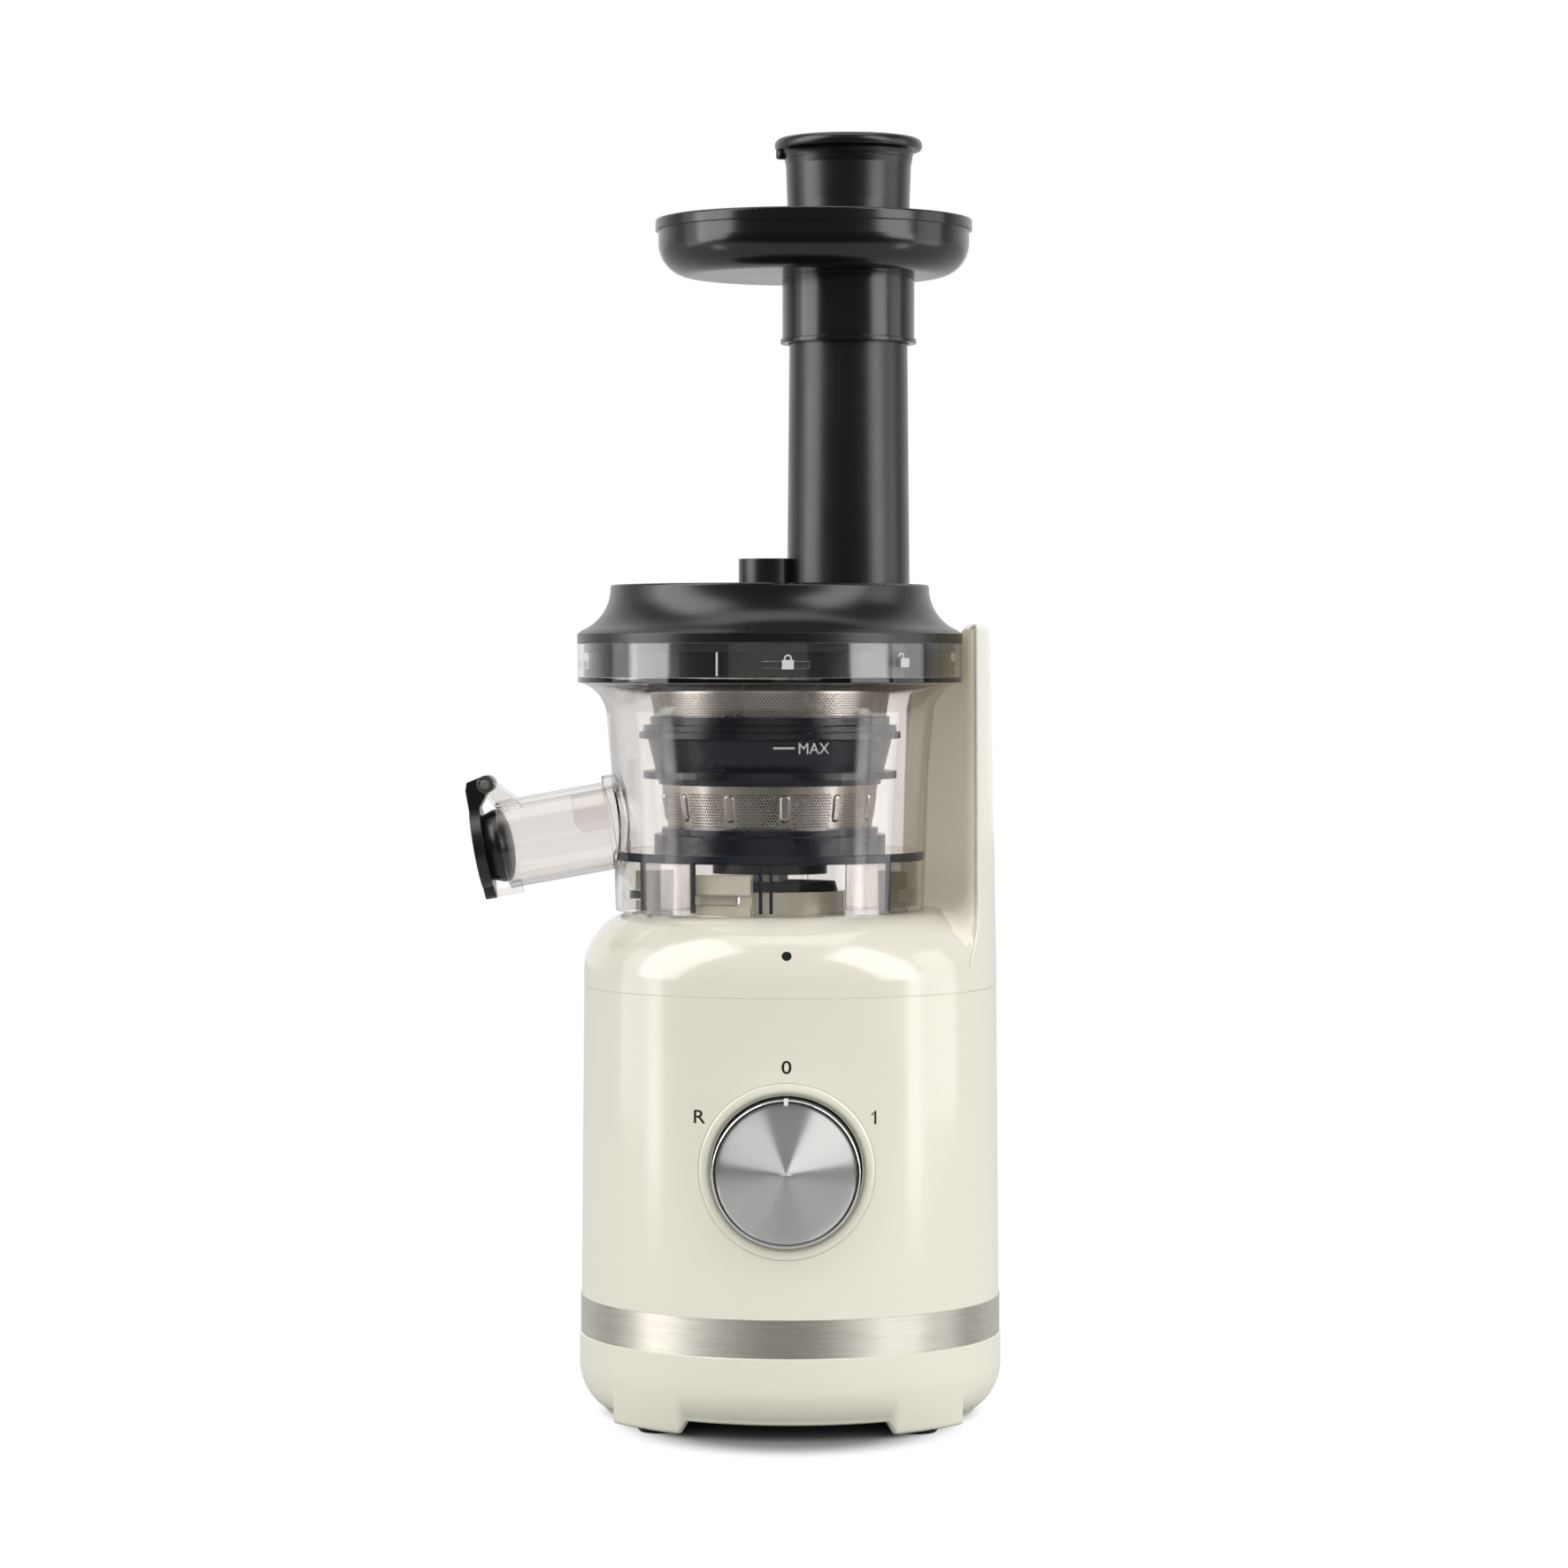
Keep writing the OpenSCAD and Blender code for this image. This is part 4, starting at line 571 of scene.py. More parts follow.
def raised_bar(at, angle):
    """Points and faces of a pressed bar with round ends, standing on the outside of the lower sleeve."""
    across, along = 10, 22
    front, back, faces = [], [], []
    for j in range(along + 1):
        v = -BAR_HALF_H + 2 * BAR_HALF_H * j / along
        end = max(0, abs(v) - (BAR_HALF_H - BAR_HALF_W))
        wide = math.sqrt(max(0, BAR_HALF_W ** 2 - end ** 2))
        for i in range(across + 1):
            u = -wide + 2 * wide * i / across
            lift = BAR_RISE * min(1, 2.6 * max(0, 1 - math.hypot(u, end) / BAR_HALF_W)) ** 0.7
            front.append(at(angle + u / LOWER_MESH_R, BAR_Z + v, 0.1 - lift))
            back.append(at(angle + u / LOWER_MESH_R, BAR_Z + v, 0.3))
    row, base = across + 1, len(front)
    for j in range(along):
        for i in range(across):
            a = j * row + i
            b = base + a
            faces.append((a, a + 1, a + row + 1, a + row))
            faces.append((b, b + row, b + row + 1, b + 1))
        for a in (j * row, j * row + across):
            faces.append((a, a + row, base + a + row, base + a))
    for j in (0, along):
        for a in range(j * row, j * row + across):
            faces.append((a, base + a, base + a + 1, a + 1))
    return front + back, faces


def make_meshes():
    steel = LOOKS["mesh_steel"]

    def off_by(angle, other, radius):
        return abs(math.remainder(angle - other, 2 * math.pi)) * radius

    def near_bar(angle):
        return any(off_by(angle, bar_at, LOWER_MESH_R) < BAR_HALF_W + 0.9 for bar_at in BARS)

    def near_seam(angle):
        return off_by(angle, UPPER_SEAM, UPPER_MESH_R) < 2.2

    lower = perforated("lower_mesh_sheet", LOWER_MESH, 2.6, 210, 0.33, near_bar, steel)
    at = cone_point(*LOWER_MESH)
    verts, faces = [], []
    for bar_at in BARS:
        bar_verts, bar_faces = raised_bar(at, bar_at)
        faces += [tuple(i + len(verts) for i in face) for face in bar_faces]
        verts += bar_verts
    ribs = mesh_object("lower_mesh_bars", verts, faces, steel)
    for obj in (lower, ribs):
        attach(obj, "bowl")
    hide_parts("lower_mesh")

    upper = perforated("upper_mesh_sheet", UPPER_MESH, 1.4, 240, 0.34, near_seam, steel)
    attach(upper, "bowl")
    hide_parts("upper_mesh")


# ---- Foot shell ----

FOOT_R = 77.4
FOOT_TOP_Z = 29.9
FOOT_ROUND_Z = 19         # the foot rounds in below this
FOOT_GAP = 1.3            # the rubber feet lift the shell this far
FOOT_IN = 15.2            # how far the round pulls in
LOBE_AT = 43.4            # degrees from the front and from the back
LOBE_HALF = 12.6
ARCH_TOP_Z = 5.6
FOOT_LIP = 1.3            # round of the lower edge
FOOT_WALL_R = BASE_R - 2.4


def foot_body_r(z):
    """The rounded foot between its lobes."""
    down = min(1, max(0, (FOOT_ROUND_Z - z) / (FOOT_ROUND_Z - FOOT_GAP + 0.3)))
    return FOOT_R - FOOT_IN * (1 - math.sqrt(1 - down * down))


def lobe_share(azimuth, z):
    """1 inside a lobe, 0 outside, with a soft side that spreads a little towards the floor."""
    off = min(abs(math.remainder(azimuth - at, 360)) for at in (LOBE_AT, -LOBE_AT, 180 - LOBE_AT, LOBE_AT - 180))
    spread = 1.2 * smooth((12 - z) / 11)
    return 1 - smooth((off - LOBE_HALF - spread + 1.2) / 2.8)


def foot_r(azimuth, z):
    body = foot_body_r(z)
    lobe = FOOT_R - 1.6 * smooth((FOOT_ROUND_Z + 2 - z) / 20)
    return body + max(0, lobe - body) * lobe_share(azimuth, z)


def foot_edge_z(azimuth):
    """Height of the foot's lower edge: the lobes reach down, the front and back are arched."""
    side = min(abs(math.remainder(azimuth, 360)), abs(math.remainder(azimuth - 180, 360)))
    arched = 1 - smooth((side - LOBE_AT + LOBE_HALF + 1.5) / 1.9)
    return FOOT_GAP + (ARCH_TOP_Z - FOOT_GAP) * arched


def foot_section(azimuth):
    """The shell's section as (radius, z): its top edge, down the outside, round the lip and up the inside."""
    rows, lip_rows = 30, 5
    low = foot_edge_z(azimuth)
    fall = FOOT_TOP_Z - 1 - low - FOOT_LIP
    section = [(FOOT_WALL_R, FOOT_TOP_Z), (BASE_R - 0.2, FOOT_TOP_Z),
               (FOOT_R - 0.35, FOOT_TOP_Z), (FOOT_R, FOOT_TOP_Z - 0.35)]
    for k in range(rows + 1):
        z = FOOT_TOP_Z - 1 - fall * (k / rows) ** 0.9
        section.append((foot_r(azimuth, z), z))
    edge_r = foot_r(azimuth, low + FOOT_LIP)
    for k in range(1, lip_rows + 1):
        a = math.pi / 2 * k / lip_rows
        section.append((edge_r - FOOT_LIP * (1 - math.cos(a)), low + FOOT_LIP * (1 - math.sin(a))))
    inner = min(edge_r - 3.2, FOOT_WALL_R)
    return section + [(inner, low), (inner, low + 3), (min(inner + 6, FOOT_WALL_R), 20)]


def make_foot():
    steps, verts = 720, []
    for i in range(steps):
        azimuth = 360 * i / steps
        a = math.radians(azimuth)
        section = foot_section(azimuth)
        verts += [(r * math.sin(a), -r * math.cos(a), z) for r, z in section]
    shell = mesh_object("foot_shell_form", verts, swept(steps, len(section)), LOOKS["cream_plastic"])
    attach(shell, "base")
    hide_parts("foot_shell")


# ---- Ring round the knob ----

# Its section from the outside in: radius and height over the housing
BEZEL_SECTION = [(0, -0.6), (0, 0), (-0.15, 0.32), (-0.5, 0.55), (-1.1, 0.66), (-2.0, 0.64), (-2.7, 0.46),
                 (-3.25, 0.1), (-3.6, -0.3), (-3.9, -0.8), (-4.5, -1.2), (-4.7, -1.9), (-4.7, -9), (0, -9)]


def on_knob_axis(r, rise, turn):
    """A point round the knob's axis, its depth measured from the housing's round wall."""
    x, z = r * math.cos(turn), KNOB_Z + r * math.sin(turn)
    return (x, -math.sqrt(housing_r(z) ** 2 - x * x) - rise, z)


def make_bezel():
    steps, verts = 180, []
    for i in range(steps):
        turn = 2 * math.pi * i / steps
        verts += [on_knob_axis(BEZEL_R + inward, rise, turn) for inward, rise in BEZEL_SECTION]
    ring = mesh_object("bezel_form", verts, swept(steps, len(BEZEL_SECTION)), LOOKS["cream_plastic"])
    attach(ring, "base")
    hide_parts("knob_bezel")


# ---- Column and top cover ----

COLUMN_TOP_Z = 289
COLUMN_LOW_Z = SEAM_Z + 0.2
COLUMN_IN_R = 72          # inner face, round the bowl's axis
COLUMN_BACK = 40          # degrees that the inner face runs round to the back

# Points of a loop round the column: its nose, the inner face before and along the circle, its tail
NOSE, FRONT, BACK, TAIL = 7, 18, 20, 7
# Loops up the column: through the round at its foot, up to the top, over the top's edge
FOOT_LOOPS, RISE_LOOPS, TOP_LOOPS = 16, 30, 6


def cover_z(r):
    """Height of the top cover's seat and rounded shoulder."""
    out = r - BASE_R + SHOULDER_R
    return SEAT_Z if out < 0 else SEAT_Z - SHOULDER_R + math.sqrt(max(0, SHOULDER_R ** 2 - out * out))


def column_out_r(z):
    return BASE_R + 0.12 - 2.4 * (z - SEAM_Z) / (COLUMN_TOP_Z - 4 - SEAM_Z)


def column_top(u):
    """The top is level in front and falls in a large round towards the back."""
    back = max(0, (u - 1) * COLUMN_BACK - 6) / 34
    return COLUMN_TOP_Z - 20 * back ** 1.5 - 0.7 * (1 - smooth(u / 0.3))


def column_inner(u, z):
    """Inner face in plan: from the front edge (u = 0) to the circle round the bowl (1 to 2)."""
    if u > 1:
        a = math.radians((u - 1) * COLUMN_BACK)
        return BOWL_X + COLUMN_IN_R * math.cos(a), COLUMN_IN_R * math.sin(a)
    # The front edge comes forward on its way down, and runs out to a point on the shoulder
    point = max(0, (184 - max(z, 165)) / 19) ** 2
    edge = -math.radians(22.3 + 2.6 * (COLUMN_TOP_Z - z) / 100 + 5.8 * point)
    side_x = BOWL_X + COLUMN_IN_R
    edge_x, edge_y = column_out_r(z) * math.cos(edge), column_out_r(z) * math.sin(edge)
    left = (1 - u) ** 2
    return left * edge_x + (1 - left) * side_x, left * edge_y + 2 * u * (1 - u) * -22


def column_outer(u, z):
    x, y = column_inner(u, z)
    scale = column_out_r(z) / math.hypot(x, y)
    return x * scale, y * scale


def column_face(u, t, up):
    """A point of the inner face: t runs through the round at its foot, up from there to the top."""
    if u > 1:
        lean = -math.radians((u - 1) * COLUMN_BACK)
        reach = 9 * (1 - smooth((u - 1.75) / 0.25))
    else:
        lean = math.radians(50) * (1 - smooth(u / 0.9))
        reach = 11.5 * smooth(u / 0.2) - 2.5 * max(0, u - 0.2) / 0.8
    nx, ny = -math.cos(lean), -math.sin(lean)

    # Where the round meets the cover, and how steeply the cover falls there
    x, y = column_inner(u, 178)
    gx, gy = x + nx * reach, y + ny * reach
    ground = cover_z(math.hypot(gx, gy))
    low = ground - 0.04
    fall = min(1.1, max(0, (ground - cover_z(math.hypot(gx - nx * 0.4, gy - ny * 0.4))) / 0.4))
    high = low + 16 - 6 * smooth(u)

    z = (1 - t * t) * low - 2 * t * (1 - t) * fall * reach + t * t * high
    z += (column_top(u) - z) * up
    x, y = column_inner(u, z)
    off = (1 - t) ** 2 * reach
    return x + nx * off, y + ny * off, z


def column_loop(t, up, inset=0.0, below=False):
    """One loop round the column.

    inset runs from 0 to 1 over the rounded edge of the top. below gives the lowest loop, which lies
    under the cover's skin inside and goes down to the seam outside.
    """
    cut = 0.03 + 0.1 * t * t
    us = [cut + (1 - cut) * k / FRONT for k in range(FRONT)] + [1 + k / BACK for k in range(BACK + 1)]
    inside, tip = [column_face(u, t, up) for u in us], column_face(0, t, up)
    if below:
        low = COLUMN_LOW_Z + 0.2
        inside = [(x, y, z - 2) for x, y, z in inside]
        outside, tip = [(*column_outer(u, low), low) for u in us], (*column_inner(0, low), low)
    else:
        share = (tip[2] - COLUMN_LOW_Z) / (column_top(0) - COLUMN_LOW_Z)
        levels = [COLUMN_LOW_Z + (column_top(u) - COLUMN_LOW_Z) * share for u in us]
        outside = [(*column_outer(u, z), z) for u, z in zip(us, levels)]

    # Round the nose, along the inner face, round the tail and back along the outer face
    ring = []
    for b in (k / (NOSE + 1) for k in range(1, NOSE + 1)):
        ring.append(tuple((1 - b) ** 2 * p + 2 * b * (1 - b) * q + b * b * r
                          for p, q, r in zip(outside[0], tip, inside[0])))
    ring += inside
    (ax, ay, az), (bx, by, bz) = inside[-1], outside[-1]
    for turn in (math.pi * k / (TAIL + 1) for k in range(1, TAIL + 1)):
        side, along = (1 - math.cos(turn)) / 2, math.sin(turn) * 0.5
        ring.append((ax + (bx - ax) * side - (by - ay) * along,
                     ay + (by - ay) * side + (bx - ax) * along, az + (bz - az) * side))
    ring += outside[::-1]
    if not inset:
        return ring

    # Over the edge of the top, every point moves in towards the middle of the wall
    middle = [tuple(p + (q - p) / 3 for p, q in zip(a, b)) for a, b in zip(inside, outside)]
    targets = [middle[0]] * NOSE + middle + [middle[-1]] * TAIL + middle[::-1]
    rounds = [2] * NOSE + [1.8] * len(us) + [3] * TAIL + [3.8] * len(us)
    turn = math.pi / 2 * inset
    edge = []
    for p, m, r in zip(ring, targets, rounds):
        gap = math.hypot(m[0] - p[0], m[1] - p[1])
        part = min(r, gap) * (1 - math.cos(turn)) / max(gap, 1e-6)
        edge.append((p[0] + (m[0] - p[0]) * part, p[1] + (m[1] - p[1]) * part, p[2] - r + r * math.sin(turn)))
    return edge


def make_column():
    loops = [column_loop(0, 0, below=True)]
    loops += [column_loop(k / FOOT_LOOPS, 0) for k in range(FOOT_LOOPS)]
    loops += [column_loop(1, k / RISE_LOOPS * 0.985) for k in range(RISE_LOOPS)]
    loops += [column_loop(1, 1, max(k / TOP_LOOPS, 1e-6)) for k in range(TOP_LOOPS + 1)]
    verts = [point for ring in loops for point in ring]
    size, n = len(loops[0]), FRONT + BACK + 1
    faces = swept(len(loops), size, False)

    # The flat top, its nose and its tail
    last = (len(loops) - 1) * size
    ins, outs = [last + NOSE + k for k in range(n)], [last + size - 1 - k for k in range(n)]
    faces += [(ins[k], ins[k + 1], outs[k + 1], outs[k]) for k in range(n - 1)]
    faces.append((outs[0], *range(last, last + NOSE), ins[0]))
    faces.append((ins[-1], *range(ins[-1] + 1, ins[-1] + 1 + TAIL), outs[-1]))

    column = mesh_object("column_form", verts, faces, LOOKS["cream_plastic"])
    # The inner face takes the cream with a painted glow for bounced light
    column.data.materials.append(COLUMN_INSIDE_PAINTED_GLOW)
    for face in column.data.polygons:
        row, k = divmod(face.index, size)
        if 0 < row <= FOOT_LOOPS + RISE_LOOPS and NOSE < k < NOSE + n - 1:
            face.material_index = 1
    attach(column, "base")


def make_cover():
    """The CAD's top cover without its column's faces, and the shoulder's round where the column stands."""
    cover = link(bpy.data.objects.new("top_cover_form", NODES["top_cover"].data.copy()))
    bm = bmesh.new()
    bm.from_mesh(cover.data)
    gone = []
    for face in bm.faces:
        x, y, z = (c / MM for c in face.calc_center_median())
        if x > 30 and math.hypot(x - BOWL_X, y) > COLUMN_IN_R - 0.2 and z > cover_z(math.hypot(x, y)) + 0.12:
            gone.append(face)
    bmesh.ops.delete(bm, geom=gone, context="FACES")
    bm.to_mesh(cover.data)
    bm.free()

    verts, faces, steps, across = [], [], 40, 16
    for i in range(steps + 1):
        a = math.radians(-36 + 84 * i / steps)
        for k in range(across + 1):
            r = BASE_R - SHOULDER_R * (1 - math.sin(math.pi / 2 * (0.45 + 0.55 * k / across)))
            verts.append((r * math.cos(a), r * math.sin(a), cover_z(r) - 0.03))
    for i in range(steps):
        for k in range(across):
            j = i * (across + 1) + k
            faces.append((j, j + 1, j + across + 2, j + across + 1))
    under = mesh_object("cover_under_column", verts, faces, LOOKS["cream_plastic"])
    for obj in (cover, under):
        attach(obj, "base")
    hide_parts("top_cover")


# ---- Tinted sheets and ribs in the bowl, and painted shade in its spout ----

# From and to, in degrees from the front towards the right, and the wall's look
SKIRT_WALLS = [(-55, -29, "smoky_wall"), (31, 52, "smoky_wall"), (52, 84, "smoky_deep")]
SKIRT_RIBS = (-55, -29, -2.2, 1.7, 52)
RIB_HALF = 0.65           # degrees
# The spout's painted shade: a tinted sheet that greys the upper front of its bore near the root
SPOUT_SHADE_FROM, SPOUT_SHADE_TO = 28, 41     # along the spout's axis, from its mouth
SPOUT_SHADE_R = 13.3
SPOUT_SHADE_T = 0.4
SPOUT_SHADE_START, SPOUT_SHADE_SWEEP = 12, 80     # degrees from the top towards the front


def bar_faces(count):
    """Faces of a closed bar whose sections are count loops of four points."""
    return swept(count, 4, False) + [(0, 1, 2, 3), tuple(range(4 * count - 4, 4 * count))]


def arc_plate(name, start, end, r0, r1, z0, z1, material):
    verts, steps = [], max(1, int(end - start))
    for i in range(steps + 1):
        a = math.radians(start + (end - start) * i / steps)
        for r, z in ((r0, z0), (r1, z0), (r1, z1), (r0, z1)):
            verts.append((BOWL_X + r * math.sin(a), -r * math.cos(a), z))
    plate = mesh_object(name, verts, bar_faces(steps + 1), material)
    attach(plate, "bowl")


def make_skirt():
    """Tinted clear sheets inside parts of the bowl's skirt, one span darker, and ribs."""
    walls = {"smoky_wall": clear_plastic("smoky_wall", (0.60, 0.575, 0.55), (0.25, 0.25, 0.26)),
             "smoky_deep": clear_plastic("smoky_deep", (0.36, 0.33, 0.30), (0.15, 0.14, 0.13))}
    for k, (start, end, look) in enumerate(SKIRT_WALLS):
        arc_plate(f"skirt_wall_{k + 1}", start, end, BOWL_IN_R - 0.9, BOWL_IN_R - 0.3,
                  SEAT_Z + 2, BOWL_FLOOR_Z - 0.2, walls[look])
    for k, at in enumerate(SKIRT_RIBS):
        arc_plate(f"skirt_rib_{k + 1}", at - RIB_HALF, at + RIB_HALF, BOWL_IN_R - 1.6, BOWL_IN_R + 0.1,
                  SEAT_Z + 1, BOWL_FLOOR_Z + 0.1, LOOKS["dark_plastic"])


def make_spout_painted_shade():
    """Painted shade: a thin tinted quarter pipe greys the upper front of the spout's bore; its front corner is cut
    off in a curve.
    """
    steps, cut_steps, verts = 24, 5, []
    for i in range(steps + 1):
        turn = math.radians(SPOUT_SHADE_START + SPOUT_SHADE_SWEEP * i / steps)
        near, r0, r1 = SPOUT_SHADE_FROM + 0.35 * max(0, i - steps + cut_steps) ** 1.2, SPOUT_SHADE_R, SPOUT_SHADE_R + SPOUT_SHADE_T
        for along, r in ((near, r0), (SPOUT_SHADE_TO, r0), (SPOUT_SHADE_TO, r1), (near, r1)):
            up, forward = r * math.cos(turn), r * math.sin(turn)
            verts.append((SPOUT_MOUTH[0] + along * math.cos(SPOUT_TILT) - up * math.sin(SPOUT_TILT), -forward,
                          SPOUT_MOUTH[1] + along * math.sin(SPOUT_TILT) + up * math.cos(SPOUT_TILT)))
    look = clear_plastic("smoky_painted_shade", (0.87, 0.855, 0.84), (0.5, 0.5, 0.5))
    shade_sheet = mesh_object("spout_painted_shade", verts, bar_faces(steps + 1), look)
    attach(shade_sheet, "bowl")


# ---- Cap of the pusher ----

CAP_TOP_Z = 466.5
CAP_LOW_Z = 459
CAP_R = 27
CAP_PLUG_R = 21.1
# Its section as (radius, z): the plug, out under the thin lip, round its edge and in over the shallow dish
CAP_SECTION = [
    (0, CAP_LOW_Z - 4), (CAP_PLUG_R - 0.6, CAP_LOW_Z - 4), (CAP_PLUG_R, CAP_LOW_Z - 3.4),
    (CAP_PLUG_R, CAP_LOW_Z - 0.3), (CAP_PLUG_R + 2.2, CAP_LOW_Z + 0.02), (CAP_PLUG_R + 2.5, CAP_LOW_Z + 1.6),
    (CAP_PLUG_R + 3.2, CAP_LOW_Z + 2.7), (CAP_R - 1.4, CAP_LOW_Z + 3.0), (CAP_R - 0.5, CAP_LOW_Z + 3.4),
    (CAP_R - 0.08, CAP_LOW_Z + 4.2), (CAP_R, CAP_LOW_Z + 5), (CAP_R - 0.15, CAP_LOW_Z + 5.9),
    (CAP_R - 0.7, CAP_LOW_Z + 6.8), (CAP_R - 1.5, CAP_LOW_Z + 7.3), (CAP_R - 2.6, CAP_TOP_Z),
    (CAP_R - 5.8, CAP_TOP_Z), (CAP_R - 6.4, CAP_TOP_Z - 0.4), (CAP_R - 6.8, CAP_TOP_Z - 1.6), (0, CAP_TOP_Z - 1.6)]
KEY_SECTION = [(0, CAP_LOW_Z + 3.2), (2.5, CAP_LOW_Z + 3.2), (2.5, CAP_LOW_Z + 0.9), (2.2, CAP_LOW_Z + 0.4),
               (1.6, CAP_LOW_Z + 0.2), (0, CAP_LOW_Z + 0.2)]


def make_cap():
    """The cap, and a small key under its lip at the left."""
    cap = lathe("cap_form", CAP_SECTION, LOOKS["black_satin"], (TUBE_X, 0))
    key = lathe("cap_key", KEY_SECTION, LOOKS["black_satin"], (TUBE_X - CAP_R + 3.0, 0), 24)
    for obj in (cap, key):
        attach(obj, "pusher")
    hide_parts("pusher_cap")


# ---- Seams ----

SEAM_HALF = 0.09
SEAM_PROUD = 0.03
WIRE_R = 0.13             # the line round the knob's ring
WIRE_GAP = 0.08           # outside the ring
WIRE_SUNK = 0.16          # its axis under the housing's wall


def square_section(r0, r1, z0, z1):
    return [(r0, z0), (r1, z0), (r1, z1), (r0, z1)]


def make_seams():
    """Thin dark lines: the housing's seam and the gap round the knob's ring, painted shade in a seam colour, and
    the edge of the bowl's floor.
    """
    r = housing_r(SEAM_Z)
    line = square_section(r - 0.4, r + SEAM_PROUD, SEAM_Z - SEAM_HALF, SEAM_Z + SEAM_HALF)
    ring = lathe("seam_line", line, SEAM_SHADE)
    steps, sides, verts = 144, 8, []
    for i in range(steps):
        for b in (2 * math.pi * k / sides for k in range(sides)):
            verts.append(on_knob_axis(BEZEL_R + WIRE_GAP + WIRE_R * math.cos(b), -WIRE_SUNK - WIRE_R * math.sin(b),
                                      2 * math.pi * i / steps))
    round_knob = mesh_object("bezel_seam", verts, swept(steps, sides), SEAM_SHADE)
    edge = square_section(BOWL_IN_R - 0.9, BOWL_IN_R + 0.3, BOWL_FLOOR_Z + 0.1, BOWL_FLOOR_TOP_Z - 0.1)
    floor_edge = lathe("bowl_floor_edge", edge, LOOKS["dark_plastic"], (BOWL_X, 0))
    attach(floor_edge, "bowl")
    for seam in (ring, round_knob):
        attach(seam, "base")


# ---- Stage, lights and camera, in metres ----

FLOOR_HALF = 6.0
AMBIENT = 1.10            # the world's light on matt surfaces
ROOM = 0.14               # the room behind the camera, seen in gloss


def background_seen(tree):
    """1 for a ray that shows the background itself: straight from the camera, or only through clear plastic."""
    path = add(tree, "LightPath").outputs
    through = calc(tree, "MAXIMUM", path["Is Camera Ray"], path["Is Transmission Ray"])
    bounced = calc(tree, "ADD", path["Diffuse Depth"], path["Glossy Depth"])
    return calc(tree, "MULTIPLY", through, calc(tree, "LESS_THAN", bounced, 0.5))


def make_floor():
    """A pale floor that keeps the object's shadow inside a painted shadow round it and, away from it, shows as the
    white background.
    """
    h = FLOOR_HALF
    mesh = bpy.data.meshes.new("floor")
    mesh.from_pydata([(-h, -h, 0), (h, -h, 0), (h, h, 0), (-h, h, 0)], [], [(0, 1, 2, 3)])
    floor = link(bpy.data.objects.new("floor", mesh))
    look = Look("floor_white").set(Roughness=0.9, Specular_IOR_Level=0.0)

    def by_distance(centre, near, far, low, high, widen=1.0):
        """Goes from low to high between two distances from a point of the floor."""
        place = look.add("VectorMath", {0: look.coords, 1: (widen, 1, 1)}, operation="MULTIPLY").outputs["Vector"]
        away = look.add("VectorMath", {0: place, 1: (*centre, 0)}, operation="DISTANCE").outputs["Value"]
        stops = {"Value": away, "From Min": near, "From Max": far, "To Min": low, "To Max": high}
        return look.add("MapRange", stops, interpolation_type="SMOOTHSTEP").outputs["Result"]

    # The table's front edge lies half a metre before the object, and the studio beyond it is dark
    table = by_distance((0, 5.9), 6.42, 6.62, 0.65, 0.03)
    # The painted shadow lies round a point a little in front of the middle and is narrower from side to side: the
    # floor's colour is darker there, and its white glow fades out there
    shadow_at, widen = (0, -0.027), 1.25
    painted_contact_shadow = by_distance(shadow_at, 0.068, 0.096, 0.42, 1, widen)
    look.join(look.math("MULTIPLY", table, painted_contact_shadow), "Base Color")
    # The fade of the white glow sets the painted shadow's size and shape; inside it the real shading shows
    painted_shadow_front = by_distance(shadow_at, 0.0535, 0.083, 0, 1, widen)
    painted_shadow_round = by_distance((0, 0), 0.060, 0.0725, 0, 1)
    glow = look.math("MULTIPLY", background_seen(look.tree), look.math("MINIMUM", painted_shadow_front, painted_shadow_round))
    white = look.add("Emission").outputs[0]
    seen = look.add("MixShader", {"Fac": glow, 1: look.shader.outputs[0], 2: white}).outputs[0]
    look.tree.links.new(seen, look.tree.nodes["Material Output"].inputs["Surface"])
    mesh.materials.append(look.mat)


def make_world():
    """Even light on matt surfaces, a dim room behind the camera in gloss, and white as the background."""
    world = bpy.data.worlds.new("studio")
    SCENE.world = world
    world.use_nodes = True
    tree = world.node_tree
    tree.nodes.clear()

    def background(strength):
        return add(tree, "Background", {"Color": (1, 1, 1, 1), "Strength": strength}).outputs["Background"]

    def mix(fac, a, b):
        return add(tree, "MixShader", {"Fac": fac, 1: a, 2: b}).outputs["Shader"]

    path = add(tree, "LightPath").outputs
    way = add(tree, "SeparateXYZ", {"Vector": add(tree, "TexCoord").outputs["Generated"]}).outputs["Y"]
    room = add(tree, "MapRange", {"Value": way, "From Min": 0.25, "From Max": 0.75, "To Min": ROOM, "To Max": 1.0})
    mirrored = calc(tree, "GREATER_THAN", path["Glossy Depth"], 0.5)
    scattered = calc(tree, "GREATER_THAN", path["Diffuse Depth"], 0.5)
    shade = mix(mirrored, background(AMBIENT), background(room.outputs["Result"]))
    shade = mix(scattered, shade, background(AMBIENT))
    shade = mix(background_seen(tree), shade, background(1.0))
    add(tree, "OutputWorld", {"Surface": shade})


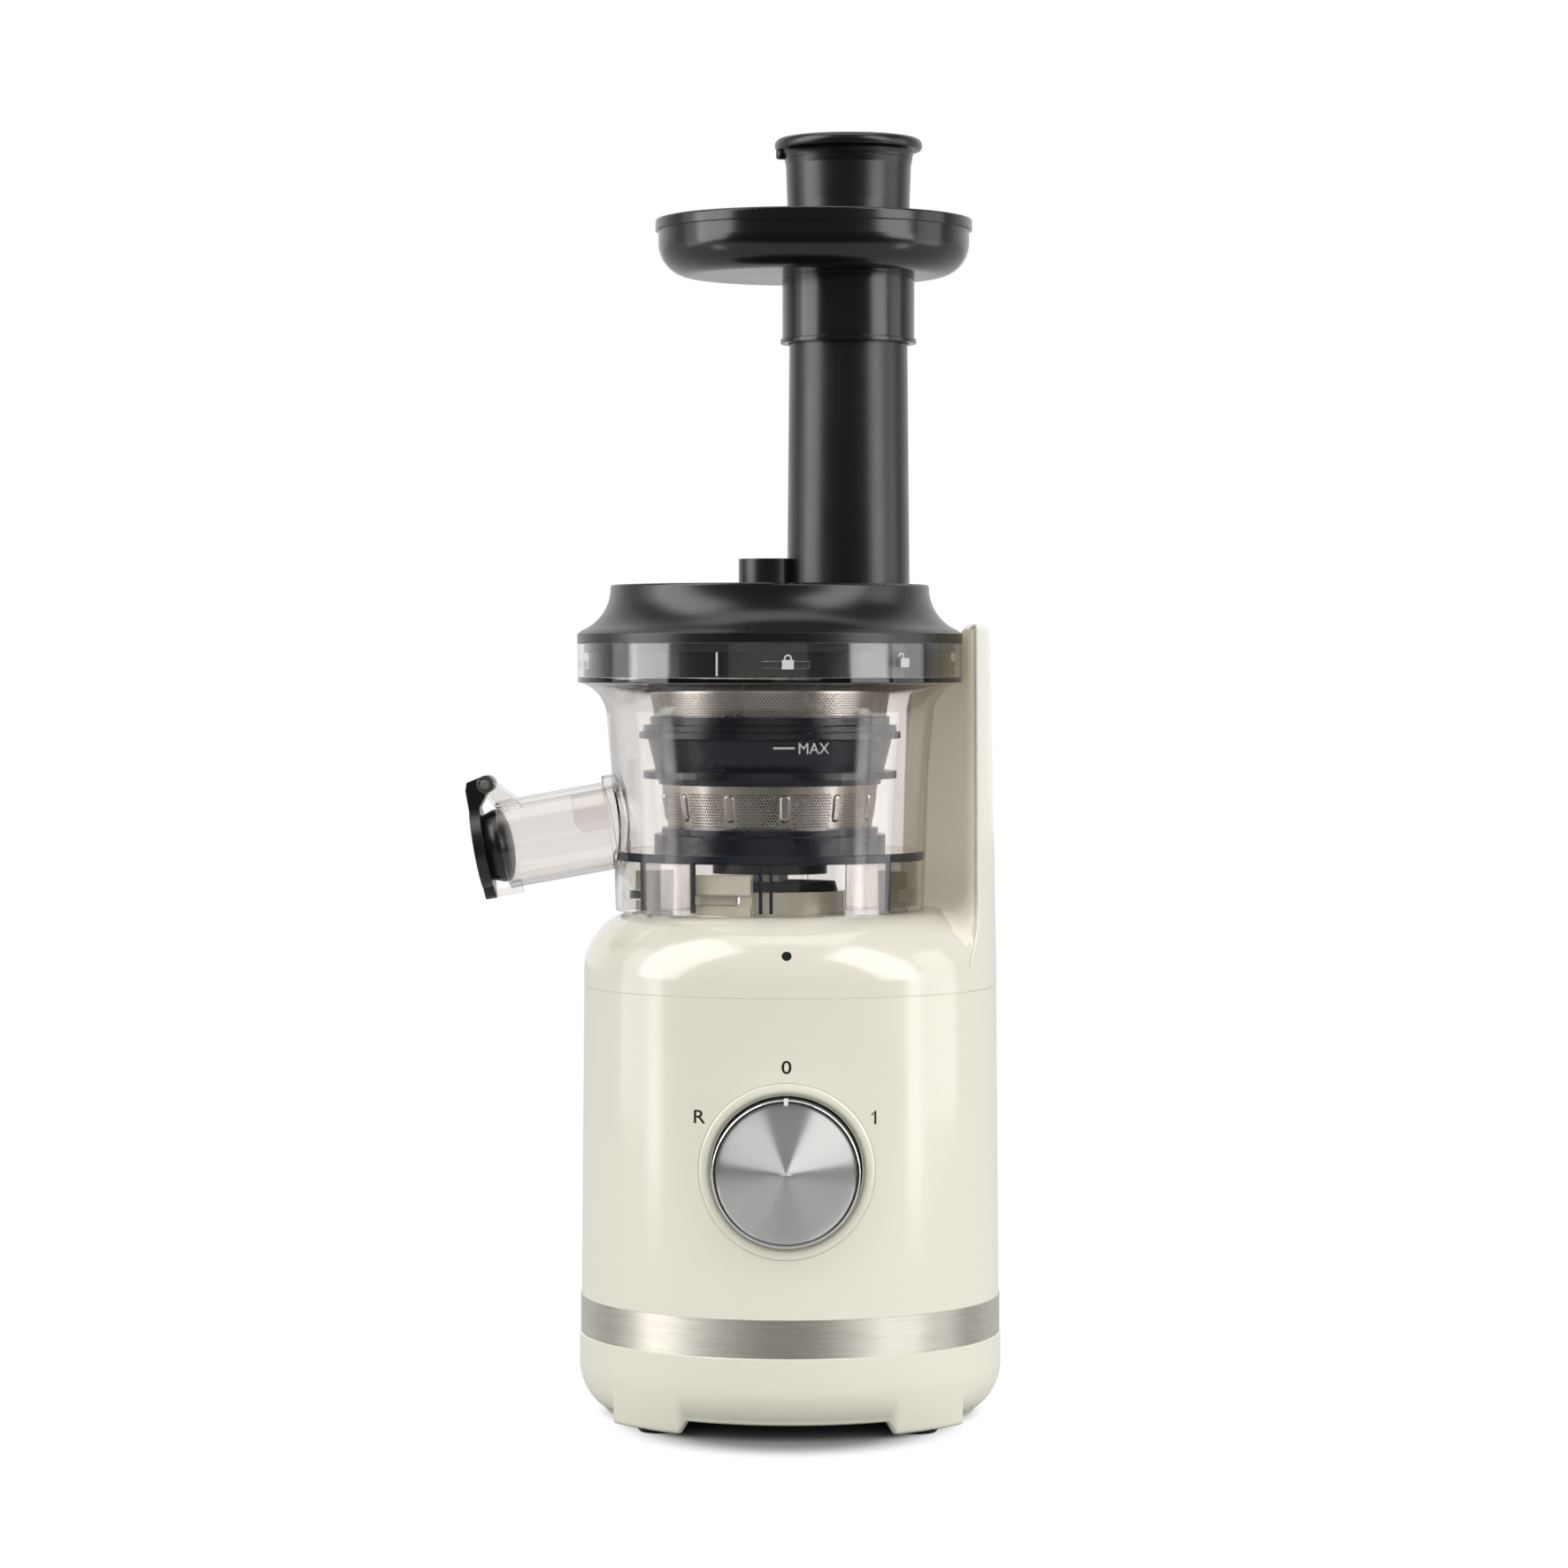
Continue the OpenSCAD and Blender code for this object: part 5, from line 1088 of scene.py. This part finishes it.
def panel(name, place, aim, width, height, radiance, fade=0.0, matt=False):
    """A studio panel at a place, turned to an aim. It lights either matt surfaces or gloss.

    fade is the share of its width and height over which its rim fades, as a softbox's does.
    """
    data = bpy.data.lights.new(name, "AREA")
    data.shape = "RECTANGLE"
    data.size, data.size_y = width, height
    data.energy = math.pi * width * height * radiance
    if fade:
        data.use_nodes = True
        tree = data.node_tree
        axes = add(tree, "SeparateXYZ", {"Vector": add(tree, "NewGeometry").outputs["Parametric"]}).outputs
        shades = []
        for axis in ("X", "Y"):
            off = calc(tree, "ABSOLUTE", calc(tree, "SUBTRACT", axes[axis], 0.5))
            shade = add(tree, "MapRange", {"Value": off, "From Min": 0.5, "From Max": 0.5 - fade},
                        interpolation_type="SMOOTHSTEP")
            shades.append(shade.outputs["Result"])
        tree.links.new(calc(tree, "MULTIPLY", *shades), tree.nodes["Emission"].inputs["Strength"])
    lamp = link(bpy.data.objects.new(name, data))
    lamp.location = place
    lamp.rotation_euler = (Vector(aim) - Vector(place)).to_track_quat("-Z", "Y").to_euler()
    lamp.visible_camera = False
    lamp.visible_diffuse = matt
    lamp.visible_glossy = not matt


def make_lights():
    """Softboxes and strips seen in gloss, then three fills that light matt surfaces alone."""
    panel("box_left", (-0.73, -0.31, 0.55), (-0.23, -0.31, 0.05), 0.62, 1.24, 4.6, 0.12)
    panel("box_right", (0.75, -0.60, 0.55), (0.25, -0.60, 0.05), 0.68, 1.24, 4.6, 0.12)
    panel("strip_left", (-0.48, -0.14, 0.115), (0, 0, 0.115), 0.13, 0.23, 2.9, 0.35)
    panel("strip_right", (0.48, -0.19, 0.115), (0, 0, 0.115), 0.13, 0.23, 3.5, 0.35)
    panel("wing_left", (-1.3, 0.08, 0.5), (0, 0.08, 0.5), 0.5, 1.0, 1.3)
    panel("wing_right", (1.3, 0.0, 0.5), (0, 0.0, 0.5), 0.6, 1.0, 1.8)
    panel("overhead", (0, -0.05, 1.45), (0, -0.05, 0), 1.0, 1.0, 2.0)
    panel("side_fill_left", (-1.5, -0.5, 0.4), (0, 0, 0.15), 1.0, 1.0, 0.55, matt=True)
    panel("side_fill_right", (1.5, -0.5, 0.4), (0, 0, 0.15), 1.0, 1.0, 1.35, matt=True)
    panel("low_fill", (0.0, -1.6, 0.45), (0, 0, 0.15), 1.4, 0.8, 0.72, matt=True)


def make_camera():
    data = bpy.data.cameras.new("camera")
    data.lens, data.sensor_width = LENS, 36
    data.clip_start, data.clip_end = 0.05, 30
    cam = link(bpy.data.objects.new("camera", data))
    side = Vector((math.cos(EYE_AZIMUTH), math.sin(EYE_AZIMUTH), 0))
    out = Vector((math.sin(EYE_AZIMUTH), -math.cos(EYE_AZIMUTH), 0))
    cam.location = (out * EYE_DISTANCE + Vector((0, 0, EYE_HEIGHT))) * MM
    aim = (-side * AIM_LEFT + Vector((0, 0, AIM_HEIGHT))) * MM
    cam.rotation_euler = (aim - cam.location).to_track_quat("-Z", "Y").to_euler()
    SCENE.camera = cam


make_camera()
make_world()
make_floor()
make_lights()
dress_nodes()
make_marks()
make_meshes()
make_foot()
make_bezel()
make_column()
make_cover()
make_cap()
make_skirt()
make_spout_painted_shade()
make_seams()

SCENE.view_settings.view_transform = "Standard"
